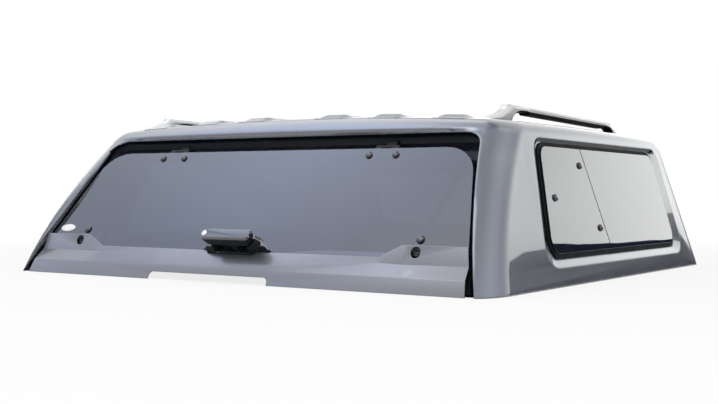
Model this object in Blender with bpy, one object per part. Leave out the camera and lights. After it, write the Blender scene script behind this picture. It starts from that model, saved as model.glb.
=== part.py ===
"""Pickup truck canopy: fibreglass shell, lift-up glass rear door, side windows, rails and gas struts.

Metres, +Z up. The rear door faces -Y, +X is the right-hand side. The origin is on the ground plane,
midway between the rear and front edges of the shell. "Station" means the distance forward from the
rear edge of the shell.
"""
import math

import bmesh
import bpy
from mathutils import Vector

# Driving sizes of the shell
HALF_WIDTH = 0.800
LENGTH = 1.609
SIDE_LEAN = 0.25
FRONT_LEAN = 0.297
REAR_SLOPE = 0.38
REAR_CURVE = 0.82
WALL = 0.005
WALL_TOP = 0.388
ROOF_TOP = 0.452
ROOF_CROWN = 0.018
ROOF_CROWN_HALF = 0.63
ROOF_BOW = 0.008
SHOULDER_ROUND = 0.038
FRONT_ROUND = 0.10
REAR_CORNER_ACROSS = 0.055
REAR_CORNER_ALONG = 0.110
FRONT_CORNER = 0.045
FLANGE_WIDTH = 0.045
FLANGE_THICK = 0.005
FLANGE_ROUND = 0.05
ROOF_RING_STEP = 0.35

# Raised ribs pressed into the roof
RIB_PLACES = (0.137, 0.317, 0.519)
RIB_WIDTH = 0.084
RIB_HEIGHT = 0.0115
RIB_START = 0.345
RIB_END = 1.330
RIB_SLOPE = 0.020
RIB_ROUND = 0.024
RIB_SINK = 0.012
RIB_ROUND_LEAST = 0.004

# Rear door: its glass lies in a plane that leans forward by DOOR_LEAN per unit of height
DOOR_LEAN = 0.70
GLASS_THICK = 0.005
GLASS_TOP_HEIGHT = 0.357
GLASS_HALF_AT_TOP = 0.632
GLASS_SPREAD = 0.254
GLASS_TOP_ROUND = 0.100
GAP_SIDE = 0.018
GAP_TOP = 0.050
APERTURE_ROUND = 0.060
SEAL_CLEAR = 0.0075
SEAL_HEIGHT = 0.0125
SEAL_WIDTH = 0.014
SEAL_INSET = 0.010
SEAL_BELOW_TOP = 0.006
SEAL_ABOVE_GROUND = 0.004
LANDING_LAP = 0.016
LANDING_LAP_TOP = 0.023
TOUCH = 0.0003

# Painted skirt along the bottom of the door
SKIRT_WALL = 0.004
SKIRT_LIP = 0.0005
INNER_LEDGE_DROP = 0.001
INNER_CREST_DROP = 0.0015
SKIRT_HALF = 0.735
SKIRT_END_SPREAD = 0.19
SKIRT_FOOT = 0.005
CREST_STATION = 0.022
CREST_HEIGHT = 0.038
BLOCK_TOP_HEIGHT = 0.114
BLOCK_TOP_STATION = 0.065
BLOCK_LEDGE_HEIGHT = 0.067
BLOCK_LEDGE_STATION = 0.051
BLOCK_INNER = 0.5345
BLOCK_SLOPE = 0.061
BAND_TOP_HEIGHT = 0.083
BAND_TOP_STATION = 0.0535
OUTER_LEDGE_HEIGHT = 0.069
OUTER_LEDGE_STATION = 0.047
INNER_LEDGE_HEIGHT = 0.058
INNER_LEDGE_STATION = 0.039
CENTRE_LEDGE_HEIGHT = 0.0455
CENTRE_LEDGE_STATION = 0.0275
CENTRE_LEFT = -0.225
CENTRE_LEFT_RUN = 0.037
CENTRE_RIGHT = 0.110
CENTRE_RIGHT_RUN = 0.105
GLASS_LAP = 0.008
NOTCH_LEFT = -0.252
NOTCH_RIGHT = 0.162
NOTCH_HEIGHT = 0.020
NOTCH_ROUND = 0.014
NOTCH_FOOT_ROUND = 0.004
LATCH_ACROSS = 0.574
LATCH_HEIGHT = 0.0934
LATCH_HOLE_RADIUS = 0.014
LATCH_BOLT_RADIUS = 0.006
LATCH_SIZE = (0.044, 0.030, 0.022)
LATCH_DEPTH = 0.0085
LATCH_BOLT_SHIFT = 0.004
LATCH_BOLT_PROUD = 0.004
LUG_HEIGHT = 0.008
LUG_FRONT = 0.001

# Door hinges, each with two capped bolts through the glass
HINGE_BOLTS = (0.326, 0.409)
HINGE_BOLT_HEIGHT = 0.339
HINGE_AXIS_ABOVE_GLASS = 0.014
HINGE_AXIS_BEHIND_GLASS = 0.016
KNUCKLE_RADIUS = 0.007
HINGE_PIN_RADIUS = 0.003
HINGE_PIN_CLEAR = 0.0003
KNUCKLE_LENGTH = 0.030
EAR_LENGTH = 0.020
EAR_GAP = 0.001
LEAF_THICK = 0.003
LEAF_HEIGHT = 0.030
LEAF_MARGIN = 0.014
LEAF_BELOW_TOP = 0.004
ARM_ROOT = 0.006
ARM_BEND = 0.003
ARM_FOOT = 0.004
PIN_PAST_EAR = 0.002
BASE_HEIGHT = 0.028
BASE_THICK = 0.0025
CAP_RADIUS = 0.0095
CAP_HEIGHT = 0.006
BOLT_RADIUS = 0.004

# Gas struts between the header and the lower part of the glass
STRUT_ACROSS = 0.552
STUD_ACROSS = 0.571
STUD_HEIGHT = 0.127
STUD_DEPTH = 0.032
STUD_CAP_RADIUS = 0.011
STUD_PLATE_HALF = 0.016
STUD_PLATE_HALF_HEIGHT = 0.018
STUD_EAR_ROOT = 0.012
STUD_EAR_TIP = 0.008
STUD_EAR_PAST_PIN = 0.006
STRUT_BODY_STATION = 0.320
STRUT_BODY_HEIGHT = 0.285
EYE_RADIUS = 0.009
EYE_HALF_WIDTH = 0.007
EYE_TO_BRACKET = 0.004
PIN_PAST_EYE = 0.001
STRUT_PIN_RADIUS = 0.004
TUBE_RADIUS = 0.009
TUBE_START = 0.006
TUBE_END = 0.195
ROD_RADIUS = 0.004
ROD_TAIL = 0.070
BORE_TAIL = 0.020
BORE_CLEAR = 0.0005
BRACKET_THICK = 0.003
BRACKET_FOOT_WIDTH = 0.035
BRACKET_FOOT_LOW = 0.004
BRACKET_FOOT_HIGH = 0.042
BRACKET_NOSE = 0.0145

# T handle: a housing open below for the fingers, and a grip with its lock that turns on a shaft in it
HANDLE_ACROSS = 0.022
HANDLE_UP = 0.113
SHAFT_RADIUS = 0.011
SHAFT_END = 0.0335
PLATE_HALF_LOW = 0.121
PLATE_HALF_HIGH = 0.075
PLATE_THICK = 0.0085
PLATE_TALL = 0.034
PLATE_ROUND = 0.004
PLATE_ABOVE_SKIRT = 0.0015
HOUSING_LEFT = 0.097
HOUSING_RIGHT = 0.080
HOUSING_LOW = 0.026
HOUSING_HIGH = 0.033
HOUSING_TAPER = 0.008
HOUSING_BACK = 0.0045
HOUSING_FRONT = 0.0285
HOUSING_LEFT_ROUND = 0.012
HOUSING_RIGHT_ROUND = 0.027
FINGER_HALF = 0.058
FINGER_HIGH = 0.0125
FINGER_FLOOR = 0.0095
GRIP_HALF_LENGTH = 0.083
GRIP_HALF_HEIGHT = 0.0165
GRIP_BACK = 0.034
GRIP_FRONT = 0.066
GRIP_EDGE = 0.004
GRIP_BACK_SHARE = 0.80
GRIP_FACE_SHARE = 0.78
LOCK_RADIUS = 0.0085
LOCK_FROM_END = 0.0125
LOCK_SEAT = 0.004
LOCK_PROUD = 0.0015

# Side windows, as stations and heights on the flat side
RECESS_REAR_LOW = (0.352, 0.049)
RECESS_REAR_HIGH = (0.436, 0.388)
RECESS_FRONT_HIGH = (1.416, 0.388)
RECESS_FRONT_LOW = (1.466, 0.049)
RECESS_ROUND = 0.060
RECESS_DEPTH = 0.010
PAD_SPREAD = 0.002
SLOPE_LOW = 0.020
SLOPE_FRONT = 0.040
SLOPE_HIGH = 0.007
SLOPE_REAR = 0.030
MARGIN_LOW = 0.036
MARGIN_FRONT = 0.060
MARGIN_HIGH = 0.022
MARGIN_REAR = 0.048
PANE_ROUND = 0.040
PANE_THICK = 0.004
PANE_LAP = 0.016
WINDOW_SEAL_THICK = 0.0035
WINDOW_SEAL_SHOW = 0.013
SPLIT_HIGH = 0.752
SPLIT_LOW = 0.826
SPLIT_GAP = 0.004
SPLIT_ROUND = 0.003
PANE_CAPS = {"upper": (0.722, 0.319), "lower": (0.773, 0.144), "latch": (0.502, 0.229)}

# Front window
FRONT_HALF = 0.480
FRONT_LOW = 0.105
FRONT_HIGH = 0.330
FRONT_WINDOW_ROUND = 0.045
FRONT_SEAL_THICK = 0.003
FRONT_SEAL_SHOW = 0.004

# Roof rails: the rear foot is long, the front one short
RAIL_ACROSS = 0.612
RAIL_WIDTH = 0.032
RAIL_START = 0.350
RAIL_END = 1.293
RAIL_REAR_TOP = 0.480
RAIL_FRONT_TOP = 0.467
RAIL_BAR_THICK = 0.016
REAR_FOOT_LENGTH = 0.235
REAR_FOOT_BASE = 0.130
REAR_FOOT_ARCH = 0.200
REAR_FOOT_RISE = 0.120
FRONT_FOOT_LENGTH = 0.150
FRONT_FOOT_BASE = 0.070
FRONT_FOOT_ARCH = 0.125
FRONT_FOOT_RISE = 0.090
FOOT_RISE_POWER = 0.6
FOOT_ROOT = 0.40
FOOT_LIP = 0.004
RAIL_EDGE = 0.005

# Modelling: how far united bodies run into each other, and how far cutting tools run past the material
INTO = 0.001
OVER = 0.005
CUT_REACH = 0.05
CUT_DEEP = 0.08
CORNER_LEAST = 0.01
ARC_STEPS = 6
ROUND_STEPS = 16
SIDES = {"left": -1.0, "right": 1.0}


class Plane:
    """A local frame: across, up and outward directions from an origin."""

    def __init__(self, origin, across, up, out):
        self.origin = Vector(origin)
        self.across = Vector(across).normalized()
        self.up = Vector(up).normalized()
        self.out = Vector(out).normalized()

    def at(self, across, up, out=0.0):
        """The world point with these local coordinates."""
        return self.origin + across * self.across + up * self.up + out * self.out


REAR = -LENGTH / 2
DOOR = Plane((0, REAR, 0), (1, 0, 0), (0, DOOR_LEAN, 1), (0, -1, DOOR_LEAN))
FRONT = Plane((0, REAR + LENGTH, 0), (-1, 0, 0), (0, -FRONT_LEAN, 1), (0, 1, FRONT_LEAN))
GROUND = Plane((0, 0, 0), (1, 0, 0), (0, 1, 0), (0, 0, 1))


def side_plane(side):
    """The flat side of the shell, with stations across and the slope of the wall up."""
    return Plane((side * HALF_WIDTH, REAR, 0), (0, 1, 0), (-side * SIDE_LEAN, 0, 1), (side, 0, SIDE_LEAN))


def door_point(station, height):
    """Door-plane coordinates (up, out) of a station and height."""
    along = math.hypot(1, DOOR_LEAN)
    up = (station * DOOR_LEAN + height) / along
    out = (height * DOOR_LEAN - station) / along
    return up, out


def door_up(height):
    """Distance up the door plane of a height on the glass."""
    return height * math.hypot(1, DOOR_LEAN)


GLASS_TOP = door_up(GLASS_TOP_HEIGHT)
GLASS_BACK = -GLASS_THICK
LANDING = GLASS_BACK - SEAL_CLEAR - SEAL_HEIGHT - TOUCH
HINGE_UP = GLASS_TOP + HINGE_AXIS_ABOVE_GLASS
HINGE_OUT = -HINGE_AXIS_BEHIND_GLASS
HINGE = DOOR.at(0, HINGE_UP, HINGE_OUT)


def make_material(name, colour, roughness, metallic=0.0):
    """A Principled BSDF material."""
    material = bpy.data.materials.new(name)
    material.use_nodes = True
    shader = material.node_tree.nodes["Principled BSDF"]
    shader.inputs["Base Color"].default_value = (*colour, 1.0)
    shader.inputs["Roughness"].default_value = roughness
    shader.inputs["Metallic"].default_value = metallic
    return material


def mesh_object(name, bm):
    """Link a bmesh to the scene as an object with outward faces."""
    bmesh.ops.recalc_face_normals(bm, faces=bm.faces)
    mesh = bpy.data.meshes.new(name)
    bm.to_mesh(mesh)
    bm.free()
    obj = bpy.data.objects.new(name, mesh)
    bpy.context.scene.collection.objects.link(obj)
    return obj


def loft(name, loops, wrap=False):
    """Join equal loops of points into one closed body, capped at its ends or wrapped round."""
    bm = bmesh.new()
    rows = [[bm.verts.new(point) for point in loop] for loop in loops]
    pairs = list(zip(rows, rows[1:]))
    if wrap:
        pairs.append((rows[-1], rows[0]))
    for low, high in pairs:
        for i in range(len(low)):
            j = (i + 1) % len(low)
            bm.faces.new((low[i], low[j], high[j], high[i]))
    if not wrap:
        bm.faces.new(rows[0])
        bm.faces.new(rows[-1])
    return mesh_object(name, bm)


def prism(name, plane, outline, start, end):
    """Extrude a closed outline along the plane's outward direction."""
    return loft(name, [[plane.at(a, b, out) for a, b in outline] for out in (start, end)])


def ring(name, plane, outer, inner, start, end):
    """A flat frame between two closed outlines with as many points each."""
    corners = ((outer, start), (outer, end), (inner, end), (inner, start))
    return loft(name, [[plane.at(a, b, out) for a, b in outline] for outline, out in corners], wrap=True)


def strip(name, plane, outer, inner, start, end):
    """A bar between two open lines with as many points each."""
    sections = []
    for (a, b), (c, d) in zip(outer, inner):
        sections.append([plane.at(a, b, start), plane.at(a, b, end),
                         plane.at(c, d, end), plane.at(c, d, start)])
    return loft(name, sections)


def turned(name, start, direction, profile, steps=ROUND_STEPS):
    """A solid of revolution: profile lists (radius, distance along direction)."""
    along = Vector(direction).normalized()
    side = along.orthogonal().normalized()
    other = along.cross(side)
    loops = []
    for radius, distance in profile:
        centre = Vector(start) + distance * along
        turn = [2 * math.pi * k / steps for k in range(steps)]
        loops.append([centre + radius * (math.cos(t) * side + math.sin(t) * other) for t in turn])
    return loft(name, loops)


def cylinder(name, start, end, radius, steps=ROUND_STEPS):
    """A plain cylinder between two points."""
    direction = Vector(end) - Vector(start)
    return turned(name, start, direction, [(radius, 0.0), (radius, direction.length)], steps)


def combine(target, tool, operation):
    """Apply a Boolean of tool on target and remove the tool."""
    modifier = target.modifiers.new(operation.lower(), "BOOLEAN")
    modifier.operation = operation
    modifier.solver = "EXACT"
    modifier.object = tool
    depsgraph = bpy.context.evaluated_depsgraph_get()
    result = bpy.data.meshes.new_from_object(target.evaluated_get(depsgraph))
    target.modifiers.clear()
    target.data = result
    bpy.data.objects.remove(tool)
    return target


def cut(target, *tools):
    """Subtract each tool from the target."""
    for tool in tools:
        combine(target, tool, "DIFFERENCE")
    return target


def add(target, *tools):
    """Unite each tool with the target."""
    for tool in tools:
        combine(target, tool, "UNION")
    return target


def finish(obj, name, material, parent=None, smooth=math.radians(35)):
    """Name, colour and shade a finished sub-part, and hang it on its parent."""
    obj.name = name
    obj.data.name = name
    obj.data.materials.clear()
    obj.data.materials.append(material)
    obj.data.shade_smooth()
    obj.data.set_sharp_from_angle(angle=smooth)
    if parent is not None:
        obj.parent = parent
        obj.matrix_parent_inverse = parent.matrix_world.inverted()
    return obj


def pivot(name, location):
    """An empty on a joint's axis."""
    empty = bpy.data.objects.new(name, None)
    empty.location = location
    bpy.context.scene.collection.objects.link(empty)
    bpy.context.view_layer.update()
    return empty


def fillet(previous, corner, following, radius, steps):
    """Points of the arc that rounds a corner."""
    corner = Vector(corner)
    back = (Vector(previous) - corner).normalized()
    ahead = (Vector(following) - corner).normalized()
    half = back.angle(ahead) / 2
    reach = radius / math.tan(half)
    centre = corner + (back + ahead).normalized() * (radius / math.sin(half))
    first = corner + back * reach - centre
    sweep = first.angle_signed(corner + ahead * reach - centre)
    points = []
    for k in range(steps + 1):
        turn = -sweep * k / steps
        x = first.x * math.cos(turn) - first.y * math.sin(turn)
        y = first.x * math.sin(turn) + first.y * math.cos(turn)
        points.append((centre.x + x, centre.y + y))
    return points


def rounded(corners, radii, steps=ARC_STEPS):
    """Closed outline through corners, each rounded by its radius."""
    points = []
    for i, corner in enumerate(corners):
        following = corners[(i + 1) % len(corners)]
        points += fillet(corners[i - 1], corner, following, radii[i], steps)
    return points


def rounded_line(corners, radius, steps=ARC_STEPS):
    """Open line through corners with its inner corners rounded."""
    points = [corners[0]]
    for i in range(1, len(corners) - 1):
        points += fillet(corners[i - 1], corners[i], corners[i + 1], radius, steps)
    points.append(corners[-1])
    return points


def inset(corners, distances):
    """Move each edge of an anticlockwise polygon inward by its own distance."""
    lines = []
    for i, corner in enumerate(corners):
        start = Vector(corner)
        along = (Vector(corners[(i + 1) % len(corners)]) - start).normalized()
        inward = Vector((-along.y, along.x))
        lines.append((start + inward * distances[i], along))
    moved = []
    for i in range(len(corners)):
        (p, d), (q, e) = lines[i - 1], lines[i]
        t = (q - p).cross(e) / d.cross(e)
        moved.append(tuple(p + d * t))
    return moved


def roof_height(x, station):
    """Height of the roof's outer surface."""
    across = ROOF_CROWN * (x / ROOF_CROWN_HALF) ** 2
    along = ROOF_BOW * (2 * station / LENGTH - 1) ** 2
    return ROOF_TOP - across - along


def plan_outline(half, rear, front, rear_corner, front_corner):
    """Plan loop of the hull, from the rear centre by +X and the front back to the rear centre."""
    across, along = rear_corner
    right = [(half - across) * k / 4 for k in range(4)]
    points = [(x, rear) for x in right]
    for k in range(ARC_STEPS + 1):
        turn = math.pi / 2 * k / ARC_STEPS
        points.append((half - across + across * math.sin(turn), rear + along * (1 - math.cos(turn))))
    start, end = rear + along, front - front_corner
    points += [(half, start + (end - start) * k / 5) for k in range(1, 5)]
    for k in range(ARC_STEPS + 1):
        turn = math.pi / 2 * k / ARC_STEPS
        points.append((half - front_corner * (1 - math.cos(turn)), end + front_corner * math.sin(turn)))
    points += [((half - front_corner) * (4 - k) / 4, front) for k in range(1, 5)]
    return points + [(-x, s) for x, s in reversed(points[1:-1])]


def hull(name, skin, bottom):
    """The canopy's outer form, or with a skin the form that lies that far inside it."""
    slant = math.hypot(1, REAR_SLOPE)
    rear_corner = (REAR_CORNER_ACROSS - skin, REAR_CORNER_ALONG - skin)
    front_corner = FRONT_CORNER - skin
    rise = roof_height(HALF_WIDTH, LENGTH / 2) - WALL_TOP
    top_slope = REAR_SLOPE + 2 * REAR_CURVE * WALL_TOP
    loops = []

    def level(half, rear, front, height_at, shrink=1.0):
        corner = (rear_corner[0] * shrink, rear_corner[1] * shrink)
        outline = plan_outline(half, rear, front, corner, front_corner * shrink)
        loops.append([Vector((x, REAR + s, height_at(x, s))) for x, s in outline])

    def walls(z):
        rear = REAR_SLOPE * z + REAR_CURVE * z * z
        return HALF_WIDTH - SIDE_LEAN * z - skin, rear + skin * slant, LENGTH - FRONT_LEAN * z - skin

    if bottom < 0:
        half, rear, front = walls(0)
        level(half, rear, front, lambda x, s: bottom)
    for k in range(8):
        z = WALL_TOP * k / 7
        level(*walls(z), lambda x, s: z)
    half, rear, front = walls(WALL_TOP)
    for k in range(1, 7):
        turn = math.pi / 2 * k / 6
        gain = math.sin(turn)
        shrink = SHOULDER_ROUND * (1 - math.cos(turn))
        level(half - shrink, rear + rise * top_slope * turn,
              front - FRONT_ROUND * (1 - math.cos(turn)) - FRONT_LEAN * rise * gain,
              lambda x, s: WALL_TOP + (roof_height(x, s) - skin - WALL_TOP) * gain)
    half -= SHOULDER_ROUND
    rear += rise * top_slope * math.pi / 2
    front -= FRONT_ROUND + FRONT_LEAN * rise
    for k in range(1, 6):
        share = k / 6
        level(half * (1 - share), rear + ROOF_RING_STEP * share, front - ROOF_RING_STEP * share,
              lambda x, s: roof_height(x, s) - skin, 1 - share)
    return closed_hull(name, loops)


def closed_hull(name, loops):
    """Skin the hull's loops, closing the last one from side to side and the first one flat."""
    bm = bmesh.new()
    rows = [[bm.verts.new(point) for point in loop] for loop in loops]
    count = len(rows[0])
    for low, high in zip(rows, rows[1:]):
        for i in range(count):
            j = (i + 1) % count
            bm.faces.new((low[i], low[j], high[j], high[i]))
    bm.faces.new(rows[0])
    last = rows[-1]
    half = count // 2
    bm.faces.new((last[0], last[1], last[-1]))
    for i in range(1, half - 1):
        bm.faces.new((last[i], last[i + 1], last[count - i - 1], last[count - i]))
    bm.faces.new((last[half - 1], last[half], last[half + 1]))
    bmesh.ops.triangulate(bm, faces=bm.faces)
    return mesh_object(name, bm)


def roof_rib(centre, skin):
    """One pressed rib that follows the roof, or the hollow that lies a skin inside it."""
    loops = []
    for spread, lift in ((skin, -RIB_SINK), (skin, -skin), (skin + RIB_SLOPE, RIB_HEIGHT - skin)):
        half = RIB_WIDTH / 2 - spread
        low, high = RIB_START + spread, RIB_END - spread
        side = [low + (high - low) * k / 8 for k in range(1, 8)]
        corner = max(RIB_ROUND - spread, RIB_ROUND_LEAST)
        points = []
        for x, s, start in ((1, low, 0), (1, high, 1), (-1, high, 2), (-1, low, 3)):
            middle = (x * (half - corner), s + corner * (1 if s == low else -1))
            for k in range(4):
                turn = math.pi / 2 * (start + k / 3) - math.pi / 2
                points.append((middle[0] + corner * math.cos(turn), middle[1] + corner * math.sin(turn)))
            if start == 0:
                points += [(half, t) for t in side]
            if start == 2:
                points += [(-half, t) for t in reversed(side)]
        loops.append([Vector((centre + x, REAR + s, roof_height(centre + x, s) + lift)) for x, s in points])
    return loft("rib", loops)


def glass_corners(grow_side, grow_top, bottom):
    """Corners of the door's outline on its plane, grown at the sides and top, cut off at bottom."""
    top = GLASS_TOP + grow_top

    def half(up):
        return GLASS_HALF_AT_TOP + grow_side + GLASS_SPREAD * (GLASS_TOP - up)

    return [(-half(bottom), bottom), (half(bottom), bottom), (half(top), top), (-half(top), top)]


def recess_corners():
    """Side window recess as slope coordinates on the side plane, anticlockwise seen from +X."""
    stretch = math.hypot(1, SIDE_LEAN)
    corners = (RECESS_REAR_LOW, RECESS_FRONT_LOW, RECESS_FRONT_HIGH, RECESS_REAR_HIGH)
    return [(station, height * stretch) for station, height in corners]


def pane_corners():
    """Side glass outline before it is split."""
    return inset(recess_corners(), (MARGIN_LOW, MARGIN_FRONT, MARGIN_HIGH, MARGIN_REAR))


def evenly(distance):
    """The same distance for each edge of a four-sided outline."""
    return (distance,) * 4


def door_outline(grow_side, grow_top, corner_round):
    """Closed outline of the door on its plane, grown at the sides and top and run on below the ground."""
    corners = glass_corners(grow_side, grow_top, -CUT_DEEP)
    return rounded(corners, (CORNER_LEAST, CORNER_LEAST, corner_round, corner_round))


def make_flange_tool():
    """Block round the inside of the bottom flange, which the cavity leaves standing."""
    half = HALF_WIDTH - FLANGE_WIDTH
    ahead = REAR + LENGTH - FLANGE_WIDTH
    outside = [(-LENGTH, -LENGTH), (LENGTH, -LENGTH), (LENGTH, LENGTH), (-LENGTH, LENGTH)]
    inside = [(-half, FLANGE_WIDTH - LENGTH), (half, FLANGE_WIDTH - LENGTH), (half, ahead), (-half, ahead)]
    return ring("flange", GROUND, rounded(outside, evenly(FLANGE_ROUND)),
                rounded(inside, evenly(FLANGE_ROUND)), -CUT_DEEP, FLANGE_THICK)


def cut_window_recess(shell, side):
    """Cut the sloped recess of a side window and the hole behind its panes."""
    plane = side_plane(side)
    loops = []
    for share in (-0.5, 1.0):
        spread = [share * slope for slope in (SLOPE_LOW, SLOPE_FRONT, SLOPE_HIGH, SLOPE_REAR)]
        outline = rounded(inset(recess_corners(), spread), evenly(RECESS_ROUND - share * SLOPE_LOW))
        loops.append([plane.at(a, b, -share * RECESS_DEPTH) for a, b in outline])
    hole = rounded(inset(pane_corners(), evenly(PANE_LAP)), evenly(PANE_ROUND - PANE_LAP / 2))
    cut(shell, loft("recess", loops), prism("hole", plane, hole, -CUT_DEEP, CUT_REACH))


def make_shell(material):
    """Fibreglass moulding: hull less its cavity, with the door frame, recesses and flange left in."""
    shell = hull("shell", 0.0, 0.0)
    cavity = hull("cavity", WALL, -CUT_REACH)
    for place in RIB_PLACES:
        for side in SIDES.values():
            add(shell, roof_rib(side * place, 0.0))
            add(cavity, roof_rib(side * place, WALL))
    jamb = door_outline(GAP_SIDE + WALL, GAP_TOP + WALL, APERTURE_ROUND)
    cut(cavity, prism("jamb", DOOR, jamb, LANDING - WALL, CUT_DEEP))
    for side in SIDES.values():
        pad = rounded(inset(recess_corners(), evenly(-PAD_SPREAD)), evenly(RECESS_ROUND))
        cut(cavity, prism("pad", side_plane(side), pad, -RECESS_DEPTH - WALL, CUT_REACH))
    cut(cavity, make_flange_tool())
    cut(shell, cavity)
    aperture = door_outline(GAP_SIDE, GAP_TOP, APERTURE_ROUND)
    landing = door_outline(-LANDING_LAP, -LANDING_LAP_TOP, GLASS_TOP_ROUND - LANDING_LAP)
    cut(shell, prism("aperture", DOOR, aperture, LANDING, CUT_DEEP),
        prism("landing", DOOR, landing, -2 * CUT_DEEP, CUT_DEEP))
    for side in SIDES.values():
        cut_window_recess(shell, side)
    cut(shell, prism("front_hole", FRONT, front_outline(PANE_LAP), -CUT_DEEP, CUT_REACH))
    return finish(shell, "shell", material)


def front_outline(shrink):
    """Front window outline on the front wall, shrunk evenly."""
    stretch = math.hypot(1, FRONT_LEAN)
    low, high = FRONT_LOW * stretch, FRONT_HIGH * stretch
    corners = [(-FRONT_HALF, low), (FRONT_HALF, low), (FRONT_HALF, high), (-FRONT_HALF, high)]
    return rounded(inset(corners, evenly(shrink)), evenly(FRONT_WINDOW_ROUND - shrink / 2))


def make_front_window(rubber, glass):
    """Fixed pane bonded over the hole in the front wall."""
    outer, inner = front_outline(-FRONT_SEAL_SHOW), front_outline(PANE_LAP)
    seal = ring("seal", FRONT, outer, inner, TOUCH, TOUCH + FRONT_SEAL_THICK)
    finish(seal, "front_window_seal", rubber)
    start = FRONT_SEAL_THICK + 2 * TOUCH
    pane = prism("pane", FRONT, front_outline(0.0), start, start + PANE_THICK)
    finish(pane, "front_window_glass", glass)


def dome_cap(plane, across, up, out, radius, height):
    """A round bolt cap with a rounded crown standing on a plane."""
    profile = [(radius, 0.0), (radius, 0.45 * height), (0.86 * radius, 0.8 * height), (0.5 * radius, height)]
    return turned("cap", plane.at(across, up, out), plane.out, profile, 12)


def make_side_window(side_name, rubber, glass, black):
    """Seal, two panes with a slanted split and three bolt caps in the recess of one side."""
    side = SIDES[side_name]
    plane = side_plane(side)
    stretch = math.hypot(1, SIDE_LEAN)
    corners = pane_corners()
    start = TOUCH - RECESS_DEPTH
    outer = rounded(inset(corners, evenly(-WINDOW_SEAL_SHOW)), evenly(PANE_ROUND + WINDOW_SEAL_SHOW))
    inner = rounded(inset(corners, evenly(PANE_LAP)), evenly(PANE_ROUND - PANE_LAP / 2))
    seal = ring("seal", plane, outer, inner, start, start + WINDOW_SEAL_THICK)
    finish(seal, "side_window_seal_" + side_name, rubber)
    start += WINDOW_SEAL_THICK + TOUCH
    low_rear, low_front, high_front, high_rear = corners
    slant = (SPLIT_LOW - SPLIT_HIGH) / (corners[0][1] - corners[3][1])

    def split(up, shift):
        return SPLIT_LOW + slant * (up - corners[0][1]) + shift, up

    half = SPLIT_GAP / 2
    rear = [low_rear, split(low_rear[1], -half), split(high_rear[1], -half), high_rear]
    ahead = [split(low_front[1], half), low_front, high_front, split(high_front[1], half)]
    rear_outline = rounded(rear, (PANE_ROUND, SPLIT_ROUND, SPLIT_ROUND, PANE_ROUND))
    ahead_outline = rounded(ahead, (SPLIT_ROUND, PANE_ROUND, PANE_ROUND, SPLIT_ROUND))
    for part, outline in (("rear", rear_outline), ("front", ahead_outline)):
        pane = prism("pane", plane, outline, start, start + PANE_THICK)
        finish(pane, "side_glass_" + part + "_" + side_name, glass)
    for place, (station, height) in PANE_CAPS.items():
        cap = dome_cap(plane, station, height * stretch, start + PANE_THICK + TOUCH, CAP_RADIUS, CAP_HEIGHT)
        finish(cap, "side_window_cap_" + place + "_" + side_name, black)


def make_door_seal(rubber):
    """Rubber seal on the landing, up one pillar, over the top and down the other."""
    low = door_up(SEAL_ABOVE_GROUND) - LANDING * DOOR_LEAN

    def line(shift):
        corners = glass_corners(shift, -SEAL_BELOW_TOP - SEAL_WIDTH + SEAL_INSET + shift, low)
        return rounded_line([corners[0], corners[3], corners[2], corners[1]], GLASS_TOP_ROUND + shift)

    outer = line(SEAL_WIDTH - SEAL_INSET)
    inner = line(-SEAL_INSET)
    seal = strip("seal", DOOR, outer, inner, LANDING + TOUCH, LANDING + TOUCH + SEAL_HEIGHT)
    finish(seal, "rear_door_seal", rubber)


def hinge_centre(side):
    """Place of a hinge across the door, midway between its bolts."""
    return side * sum(HINGE_BOLTS) / 2


def make_hinge_base(side_name, metal):
    """Plate on the landing with the middle knuckle and the pin."""
    centre = hinge_centre(SIDES[side_name])
    half = KNUCKLE_LENGTH / 2
    low, high = HINGE_UP, HINGE_UP + BASE_HEIGHT
    start = LANDING + TOUCH
    plate = [(centre - half, low), (centre + half, low), (centre + half, high), (centre - half, high)]
    base = prism("plate", DOOR, plate, start, start + BASE_THICK)
    add(base, cylinder("knuckle", DOOR.at(centre - half, HINGE_UP, HINGE_OUT),
                       DOOR.at(centre + half, HINGE_UP, HINGE_OUT), KNUCKLE_RADIUS))
    reach = half + EAR_GAP + EAR_LENGTH + PIN_PAST_EAR
    add(base, cylinder("pin", DOOR.at(centre - reach, HINGE_UP, HINGE_OUT),
                       DOOR.at(centre + reach, HINGE_UP, HINGE_OUT), HINGE_PIN_RADIUS, 12))
    finish(base, "hinge_base_" + side_name, metal)


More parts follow.
